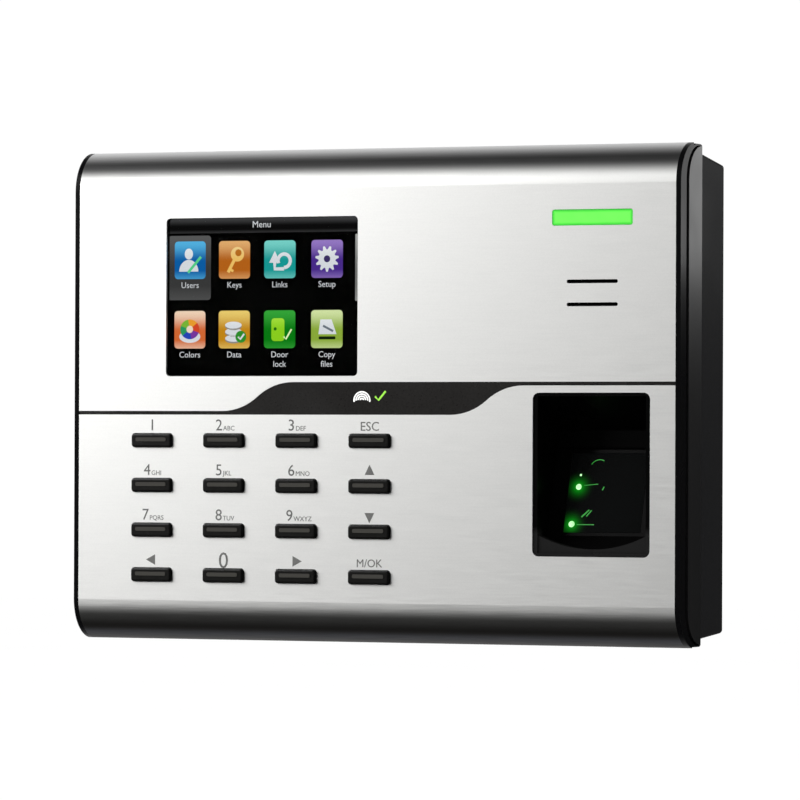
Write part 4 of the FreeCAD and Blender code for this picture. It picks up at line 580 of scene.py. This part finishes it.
ink = printed_ink("printed_grey_ink", "#4a4a49", "#5d5d5b", {
    "Roughness": 0.6, "Specular IOR Level": 0.2,
})
KEY_LEGENDS = {
    "key_1": ("1", ""), "key_2": ("2", "ABC"), "key_3": ("3", "DEF"), "key_4": ("4", "GHI"),
    "key_5": ("5", "JKL"), "key_6": ("6", "MNO"), "key_7": ("7", "PQRS"), "key_8": ("8", "TUV"),
    "key_9": ("9", "WXYZ"),
}
DIGIT_SIZE, LETTERS_SIZE, ZERO_SIZE, ESCAPE_SIZE, ENTER_SIZE = 3.0, 1.25, 4.3, 2.4, 2.1
LEGEND_RISE, ZERO_RISE, ARROW_RISE = 2.75, 2.0, 4.1
ARROW_REACH = 1.75
words, arrows = [], []
for node in KEY_NODES:
    low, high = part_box(node)
    key_x = (low[0] + high[0]) / 2 / MM
    key_z = (low[2] + high[2]) / 2 / MM
    base = key_z + LEGEND_RISE
    if node in KEY_LEGENDS:
        digit, letters = KEY_LEGENDS[node]
        digit_x = key_x - 0.5 * len(letters)
        words.append((digit, digit_x, base, DIGIT_SIZE, "CENTER"))
        if letters:
            words.append((letters, digit_x + 1.25, base, LETTERS_SIZE, "LEFT"))
    elif node == "key_0":
        words.append(("0", key_x, key_z + ZERO_RISE, ZERO_SIZE, "CENTER"))
    elif node == "key_escape":
        words.append(("ESC", key_x, base, ESCAPE_SIZE, "CENTER"))
    elif node == "key_enter":
        words.append(("M/OK", key_x, base, ENTER_SIZE, "CENTER"))
    else:
        middle_z = key_z + ARROW_RISE
        towards = {"key_up": 90, "key_right": 0, "key_left": 180, "key_down": 270}[node]
        arrows.append([
            (key_x + ARROW_REACH * math.cos(math.radians(towards + turn)),
             middle_z + ARROW_REACH * math.sin(math.radians(towards + turn))) for turn in (0, 125, 235)
        ])
lettering("key_legends", words, front_y, ink, "terminal")
artwork("arrow_legends", [(ink, arrow, 0) for arrow in arrows], front_y, "terminal")

# %% [markdown]
# ## The band's emblem
# The black band carries a small printed emblem. Here it is a plain pictogram: the ridges of a
# fingerprint and a green tick, drawn as curved strokes.

# %% A fingerprint and a tick
# Both inks carry a faint emission, a painted glow on the print.
pale_ink = printed_ink("printed_pale_ink", "#dededc", "#f4f4f2", {
    "Roughness": 0.5, "Emission Strength": 0.12, "Emission Color": from_hex("#e8e8e6"),
})
green_ink = printed_ink("printed_green_ink", "#6fb420", "#8fd436", {
    "Roughness": 0.5, "Emission Strength": 0.12, "Emission Color": from_hex("#7cc42a"),
})
band_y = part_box("trim_band")[0][1]
ridges = [(pale_ink, arc(-2.6, -1.5, radius, 15 - 8 * turn, 165 + 8 * turn, 0.36), 0)
          for turn, radius in enumerate((0.55, 1.15, 1.75, 2.35))]
tick = (green_ink, stroke([(1.3, -0.4), (2.3, -1.4), (4.4, 1.0)], 0.55), 0)
artwork("band_emblem", ridges + [tick], band_y, "terminal")

# %% [markdown]
# ## The screen
# A colour display gives off its own light, so its picture is made of emissive layers just in front
# of the display module, behind the window. Each icon is one piece: a tile that is lighter at its
# top, and a plain pictogram on it. The labels are generic words.

# %% Lit colours
def screen_colour(name, low, high):
    """Light from the display that changes from one colour at the foot to another at the top."""
    finish, tree, shader = start_finish(name, {
        "Base Color": from_hex("#000000"), "Roughness": 0.6, "Specular IOR Level": 0.0,
        "Emission Strength": 1.0,
    })
    up = add(tree, "ShaderNodeTexCoord").outputs["Generated"]
    rise = add(tree, "ShaderNodeSeparateXYZ", {0: up}).outputs["Z"]
    shine = add(tree, "ShaderNodeMapRange", {
        "Value": rise, "From Min": 0.45, "From Max": 1.0, "To Min": 0.0, "To Max": 1.0,
    }, interpolation_type="SMOOTHSTEP")
    foot = add(tree, "ShaderNodeMapRange", {
        "Value": rise, "From Min": 0.0, "From Max": 0.22, "To Min": 0.6, "To Max": 0.0,
    })
    level = add(tree, "ShaderNodeMath", {0: shine.outputs[0], 1: foot.outputs[0]}, operation="MAXIMUM")
    light = add(tree, "ShaderNodeMix", {
        "Factor": level.outputs[0], 6: from_hex(low), 7: from_hex(high),
    }, data_type="RGBA")
    tree.links.new(light.outputs[2], shader.inputs["Emission Color"])
    return finish


white_light = screen_colour("lit_white", "#dcdfe4", "#f4f6f8")
grey_light = screen_colour("lit_grey", "#3a3a3a", "#5a5a5a")
bar_light = screen_colour("lit_title", "#0c0c0c", "#3f3f40")
label_light = screen_colour("lit_label", "#c9cbcf", "#d6d8db")
edge_light = screen_colour("lit_scroll_bar", "#7a7a78", "#a5a5a2")

# %% Icon pictograms
LCD_FACE_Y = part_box("lcd_module")[0][1]
PANE = (-62.4, -4.9, 5.13, 48.33)
TILE = 9.4
TITLE_SIZE, LABEL_SIZE = 1.75, 1.6
LABEL_DROP, LINE_STEP = 7.6, 2.6


def person(x, z):
    """A head and shoulders with a pen."""
    yield white_light, disc(x - 0.4, z + 1.7, 1.25, 1.5), 1
    yield white_light, disc(x - 0.4, z - 3.1, 2.9, 3.2, 0, 180), 1
    pen = screen_colour("lit_pen", "#55d08a", "#a8f0c4")
    yield pen, stroke([(x - 0.6, z - 3.4), (x + 3.3, z + 0.9)], 0.75), 2


def door_key(x, z):
    """A door key."""
    gold = screen_colour("lit_gold", "#f2c266", "#f8dc9a")
    yield gold, disc(x + 0.9, z + 1.5, 2.0), 1
    yield screen_colour("lit_key_hole", "#b5691c", "#c8792a"), disc(x + 1.2, z + 1.9, 0.95), 2
    yield gold, stroke([(x + 0.2, z + 0.4), (x - 1.9, z - 3.4)], 0.9), 1
    yield gold, stroke([(x - 1.5, z - 2.5), (x - 0.3, z - 3.1)], 0.7), 2


def linked_arrows(x, z):
    """An arrow up, and one that goes round."""
    yield white_light, [(x - 3.2, z - 0.9), (x - 1.5, z + 2.3), (x + 0.1, z - 0.9)], 1
    yield white_light, stroke([(x - 1.5, z - 0.8), (x - 1.5, z - 2.6), (x + 1.3, z - 2.6)], 0.95), 2
    yield white_light, arc(x + 1.3, z - 0.4, 1.85, -90, 200, 0.95), 1


def gear(x, z):
    """A gear wheel."""
    teeth = 11
    wheel = []
    for step in range(teeth * 4):
        radius = 3.5 if step % 4 in (0, 1) else 2.55
        angle = math.tau * (step + 0.5) / (teeth * 4)
        wheel.append((x + radius * math.cos(angle), z + radius * math.sin(angle)))
    yield white_light, wheel, 1
    yield screen_colour("lit_hub", "#3c2f63", "#4b3c77"), disc(x, z, 0.95), 2


def colour_wheel(x, z):
    """A wheel of colours on a white tray."""
    yield white_light, disc(x, z - 1.9, 3.2, 1.7), 1
    for place, colour in enumerate(("#d84828", "#f0a030", "#7cb83a", "#2e9a60", "#2846b8", "#7a3aa0")):
        slice_light = screen_colour(f"lit_slice_{place}", colour, colour)
        yield slice_light, disc(x, z + 0.1, 2.9, 2.7, 60 * place - 20, 60), 2
    yield screen_colour("lit_wheel_hub", "#f3dcc4", "#fbe9d6"), disc(x, z + 0.1, 1.0), 3


def tick_badge(x, z, name, low, high):
    """A round badge with a tick."""
    yield screen_colour(name, low, high), disc(x, z, 1.65), 5
    yield white_light, stroke([(x - 0.8, z), (x - 0.2, z - 0.7), (x + 1.0, z + 0.8)], 0.5), 6


def disc_stack(x, z):
    """Three stacked discs with a green badge."""
    shadow = screen_colour("lit_disc_shadow", "#8e8a84", "#a5a19a")
    for place in range(3):
        low = z - 2.5 + place * 1.8
        yield shadow, disc(x - 0.2, low - 0.3, 2.5, 1.0), 1 + place
        yield white_light, disc(x - 0.2, low + 0.1, 2.5, 0.95), 2 + place
    yield from tick_badge(x + 2.1, z - 2.0, "lit_green_badge", "#2f8f2c", "#4fb548")


def door_and_tick(x, z):
    """A door with a knob, and a tick."""
    yield screen_colour("lit_door", "#8fd420", "#b6ee4a"), rounded(x - 0.5, z - 0.1, 3.9, 6.2, 0.9), 1
    yield screen_colour("lit_knob", "#1e6b10", "#1e6b10"), disc(x - 1.3, z + 0.1, 0.45), 2
    tick_light = screen_colour("lit_tick", "#eaffc0", "#eaffc0")
    yield tick_light, stroke([(x + 1.3, z - 2.0), (x + 1.9, z - 2.7), (x + 3.6, z)], 0.45), 2


def drive(x, z):
    """A drive with a label plate and its foot."""
    plate = [(x - 1.9, z + 2.6), (x + 1.4, z + 2.6), (x + 2.9, z - 1.4), (x - 2.5, z - 1.4)]
    mark = screen_colour("lit_drive_mark", "#6d7680", "#6d7680")
    foot = screen_colour("lit_drive_foot", "#14240c", "#14240c")
    yield white_light, plate, 1
    yield mark, stroke([(x - 1.1, z + 0.9), (x + 1.9, z - 0.6)], 0.6), 2
    yield foot, rounded(x + 0.1, z - 2.4, 5.0, 0.8, 0.3), 2


# %% The menu
MENU = (
    ("person", person, "Users", "#0d5ea6", "#56b6e6"),
    ("door_key", door_key, "Keys", "#b8631a", "#e8b070"),
    ("links", linked_arrows, "Links", "#189a96", "#7ad6cc"),
    ("gear", gear, "Setup", "#4a2c8c", "#9a7cc8"),
    ("colours", colour_wheel, "Colors", "#d86a34", "#f6d8bc"),
    ("records", disc_stack, "Data", "#c88a18", "#f0d070"),
    ("door", door_and_tick, "Door\nlock", "#0a7c14", "#36a83a"),
    ("drive", drive, "Copy\nfiles", "#8fae3c", "#d8e8a8"),
)
left, right, low, high = PANE
width, height = right - left, high - low
columns = [left + width * share for share in (0.124, 0.358, 0.596, 0.842)]
rows = [high - height * share for share in (0.265, 0.705)]
title_bar = rounded((left + right) / 2, high - 2.1, width, 4.0, 0.6)
choice = rounded(columns[0] - 0.2, rows[0] - 2.1, 13.0, 17.6, 0.9)
scroll_bar = rounded(right - 0.35, high - height * 0.32, 0.7, height * 0.42, 0.3)
for name, light, outline in (("menu_title_bar", bar_light, title_bar), ("menu_choice", grey_light, choice),
                             ("menu_scroll_bar", edge_light, scroll_bar)):
    artwork(name, [(light, outline, 0)], LCD_FACE_Y, "terminal")
labels = [("Menu", (left + right) / 2, high - 2.7, TITLE_SIZE, "CENTER")]
for place, (name, draw, label, dark, light) in enumerate(MENU):
    x, z = columns[place % 4], rows[place // 4]
    tile = screen_colour(f"lit_tile_{name}", dark, light)
    shapes = [(tile, rounded(x, z, TILE, TILE + 0.9, 1.0), 1)]
    shapes += [(finish, outline, layer + 1) for finish, outline, layer in draw(x, z)]
    artwork(f"icon_{name}", shapes, LCD_FACE_Y, "terminal")
    for line, word in enumerate(label.split("\n")):
        labels.append((word, x, z - LABEL_DROP - LINE_STEP * line, LABEL_SIZE, "CENTER"))
lettering("menu_labels", labels, LCD_FACE_Y - 2 * LAYER, label_light, "terminal")

# %% [markdown]
# ## Behind the screen and in the finger window
# The display module itself is dark glass over a dull metal back. In the finger window the two lamps
# show as bright points with thin reflections beside them, which are small strokes laid on the glass.

# %% The dark display
finish, tree, shader = start_finish("dark_display_glass", {
    "Base Color": from_hex("#020202"), "Specular IOR Level": 0.01,
})
place = add(tree, "ShaderNodeTexCoord").outputs["Object"]
cells = add(tree, "ShaderNodeTexVoronoi", {"Vector": place, "Scale": 1 / (0.18 * MM)})
gloss = add(tree, "ShaderNodeMapRange", {
    "Value": cells.outputs["Distance"], "To Min": 0.35, "To Max": 0.45,
})
tree.links.new(gloss.outputs[0], shader.inputs["Roughness"])
give(finish, "lcd_module")

# %% Lamp points
def green_light(name, colour, strength):
    """Light from a green lamp, a little uneven."""
    finish, tree, shader = start_finish(name, {
        "Base Color": from_hex("#0a200c"), "Roughness": 0.3, "Emission Strength": strength,
    })
    place = add(tree, "ShaderNodeTexCoord").outputs["Object"]
    cloud = add(tree, "ShaderNodeTexNoise", {"Vector": place, "Scale": 1 / (1.2 * MM), "Detail": 3.0})
    light = add(tree, "ShaderNodeMix", {
        "Factor": cloud.outputs["Fac"], 6: from_hex(colour), 7: from_hex("#0c7a1c"),
    }, data_type="RGBA")
    tree.links.new(light.outputs[2], shader.inputs["Emission Color"])
    return finish


lamp_green = green_light("lamp_green", "#c8ffc0", 2.2)
faint_green = green_light("faint_green", "#3fd04a", 0.7)
give(green_light("lamp_body_green", "#4aff5a", 0.5), "sensor_leds")

GLASS_TILT = math.radians(17)
GLASS_DEPTH, GLASS_MIDDLE_Z = 10.9 * MM, -26.0 * MM


def on_glass(name, shapes):
    """Artwork laid on the slanted glass: it is drawn upright, then turned to the glass."""
    piece = artwork(name, shapes, 0.0, "terminal")
    middle = Matrix.Translation((0, front_y + GLASS_DEPTH, GLASS_MIDDLE_Z))
    slant = middle @ Matrix.Rotation(-GLASS_TILT, 4, "X")
    piece.data.transform(slant @ Matrix.Translation((0, -LAYER, -GLASS_MIDDLE_Z)))
    return piece


upper, lower = LAMP_SPOTS
upper_z, lower_z = -24.4, -34.8
upper_x, lower_x = upper[0] / MM, lower[0] / MM
on_glass("lamp_points", [
    (lamp_green, disc(upper_x, upper_z, 0.8), 0), (lamp_green, disc(lower_x, lower_z, 0.85), 0),
    # The small third point above the upper lamp is a painted glint.
    (lamp_green, disc(upper_x + 0.2, upper_z + 3.3, 0.3), 0),
])
on_glass("lamp_reflections", [
    (faint_green, stroke([(upper_x + 1.5, upper_z + 0.4), (upper_x + 5.5, upper_z + 0.8)], 0.22), 0),
    (faint_green, stroke([(lower_x + 1.5, lower_z - 0.1), (lower_x + 6.5, lower_z - 0.1)], 0.24), 0),
    (faint_green, arc(upper_x + 5.2, upper_z + 5.0, 2.6, 60, 150, 0.22), 0),
    (faint_green, stroke([(lower_x + 2.6, lower_z + 2.0), (lower_x + 4.6, lower_z + 4.0)], 0.4), 0),
    (faint_green, stroke([(lower_x + 4.0, lower_z + 2.2), (lower_x + 5.3, lower_z + 3.9)], 0.35), 0),
    (faint_green, stroke([(upper_x + 6.9, upper_z - 0.9), (upper_x + 7.3, upper_z + 0.1)], 0.3), 0),
])

# %% [markdown]
# ## The studio
# The terminal hangs over a plain pale floor. One soft box stands in front at the left, a little above
# it, and a small lamp behind at the right lights the side. The world gives an even white to rough
# surfaces and to the view, and a darker room to glossy and clear ones, as black flags around a
# product would.

# %% Floor
floor_paint, tree, shader = start_finish("pale_floor_paint", {
    "Roughness": 0.9, "Specular IOR Level": 0.0,
})
place = add(tree, "ShaderNodeTexCoord").outputs["Object"]
cloud = add(tree, "ShaderNodeTexNoise", {"Vector": place, "Scale": 1 / (250 * MM), "Detail": 2.0})
shade = add(tree, "ShaderNodeMix", {
    "Factor": cloud.outputs["Fac"], 6: from_hex("#fcfcfc"), 7: from_hex("#fefefe"),
}, data_type="RGBA")
tree.links.new(shade.outputs[2], shader.inputs["Base Color"])
FLOOR_DROP = 0.16
floor_mesh = bpy.data.meshes.new("studio_floor")
floor_mesh.from_pydata([(-6, -6, 0), (6, -6, 0), (6, 6, 0), (-6, 6, 0)], [], [(0, 1, 2, 3)])
floor_mesh.materials.append(floor_paint)
floor = bpy.data.objects.new("studio_floor", floor_mesh)
floor.location.z = cad_box[0][2] - FLOOR_DROP
bpy.context.scene.collection.objects.link(floor)
floor.visible_glossy = False
print("floor at", round(floor.location.z, 3))

# %% Lights
TARGET = Vector((0, front_y, 0))


def soft_box(name, azimuth, elevation, distance, width, height, power, colour="#ffffff"):
    """An area light that looks at the front's middle; azimuth 0 is straight in front."""
    turn, rise = math.radians(azimuth), math.radians(elevation)
    way = Vector((math.sin(turn) * math.cos(rise), -math.cos(turn) * math.cos(rise), math.sin(rise)))
    data = bpy.data.lights.new(name, "AREA")
    data.shape = "RECTANGLE"
    data.size, data.size_y = width, height
    data.energy = power
    data.color = from_hex(colour)[:3]
    light = bpy.data.objects.new(name, data)
    light.location = TARGET + way * distance
    light.rotation_euler = way.to_track_quat("Z", "Y").to_euler()
    bpy.context.scene.collection.objects.link(light)
    print(name, [round(value, 2) for value in light.location])
    return light


soft_box("left_soft_box", -54, 24, 0.75, 0.5, 0.5, 6.5)
soft_box("side_lamp", 133, 17, 0.21, 0.05, 0.05, 0.03)

# %% World
PALE_WALL = 1.02
ROOM_DARK = 0.03
world = bpy.data.worlds.new("studio_room")
world.use_nodes = True
tree = world.node_tree
tree.nodes.clear()
way = add(tree, "ShaderNodeTexCoord").outputs["Generated"]
direction = add(tree, "ShaderNodeSeparateXYZ", {0: way})
behind = add(tree, "ShaderNodeMapRange", {
    "Value": direction.outputs["Y"], "From Min": -0.1, "From Max": 0.5, "To Min": 0.0, "To Max": 1.0,
}, interpolation_type="SMOOTHSTEP")
leftward = add(tree, "ShaderNodeMapRange", {
    "Value": direction.outputs["X"], "From Min": 0.2, "From Max": -0.3, "To Min": 0.0, "To Max": 1.0,
}, interpolation_type="SMOOTHSTEP")
wall_light = add(tree, "ShaderNodeMath", {0: behind.outputs[0], 1: leftward.outputs[0]},
                 operation="MULTIPLY")
glow = add(tree, "ShaderNodeMath", {0: wall_light.outputs[0], 1: ROOM_DARK}, operation="ADD")
overhead = add(tree, "ShaderNodeMapRange", {
    "Value": direction.outputs["Z"], "From Min": 0.5, "From Max": 0.95, "To Min": 1.0, "To Max": 0.15,
}, interpolation_type="SMOOTHSTEP")
room = add(tree, "ShaderNodeMath", {0: glow.outputs[0], 1: overhead.outputs[0]}, operation="MULTIPLY")
rays = add(tree, "ShaderNodeLightPath")
in_glass = add(tree, "ShaderNodeMath", {
    0: rays.outputs["Is Glossy Ray"], 1: rays.outputs["Is Transmission Ray"],
}, operation="MAXIMUM")
shown = add(tree, "ShaderNodeMix", {0: in_glass.outputs[0], 2: PALE_WALL, 3: room.outputs[0]})
backdrop = add(tree, "ShaderNodeBackground", {
    "Color": from_hex("#ffffff"), "Strength": shown.outputs[0],
})
add(tree, "ShaderNodeOutputWorld", {"Surface": backdrop.outputs[0]})
bpy.context.scene.world = world

# %% Camera
LENS_MM = 264.0
CAMERA_X, CAMERA_FORWARD, CAMERA_Z = 0.6540, 1.4385, -0.0154
YAW, PITCH, ROLL_ANGLE = (math.radians(value) for value in (24.16, -0.51, 0.23))
back = Vector((math.sin(YAW) * math.cos(PITCH), -math.cos(YAW) * math.cos(PITCH), math.sin(PITCH)))
level_right = Vector((math.cos(YAW), math.sin(YAW), 0))
level_up = back.cross(level_right)
right_way = math.cos(ROLL_ANGLE) * level_right + math.sin(ROLL_ANGLE) * level_up
up_way = math.cos(ROLL_ANGLE) * level_up - math.sin(ROLL_ANGLE) * level_right
camera_data = bpy.data.cameras.new("studio_camera")
camera_data.lens = LENS_MM
camera_data.clip_start, camera_data.clip_end = 0.05, 60
camera = bpy.data.objects.new("studio_camera", camera_data)
turned = Matrix((right_way, up_way, back)).transposed().to_4x4()
camera.matrix_world = Matrix.Translation((CAMERA_X, front_y - CAMERA_FORWARD, CAMERA_Z)) @ turned
bpy.context.scene.collection.objects.link(camera)
bpy.context.scene.camera = camera
bpy.context.scene.view_settings.view_transform = "Standard"
print("camera at", [round(value, 3) for value in camera.location])
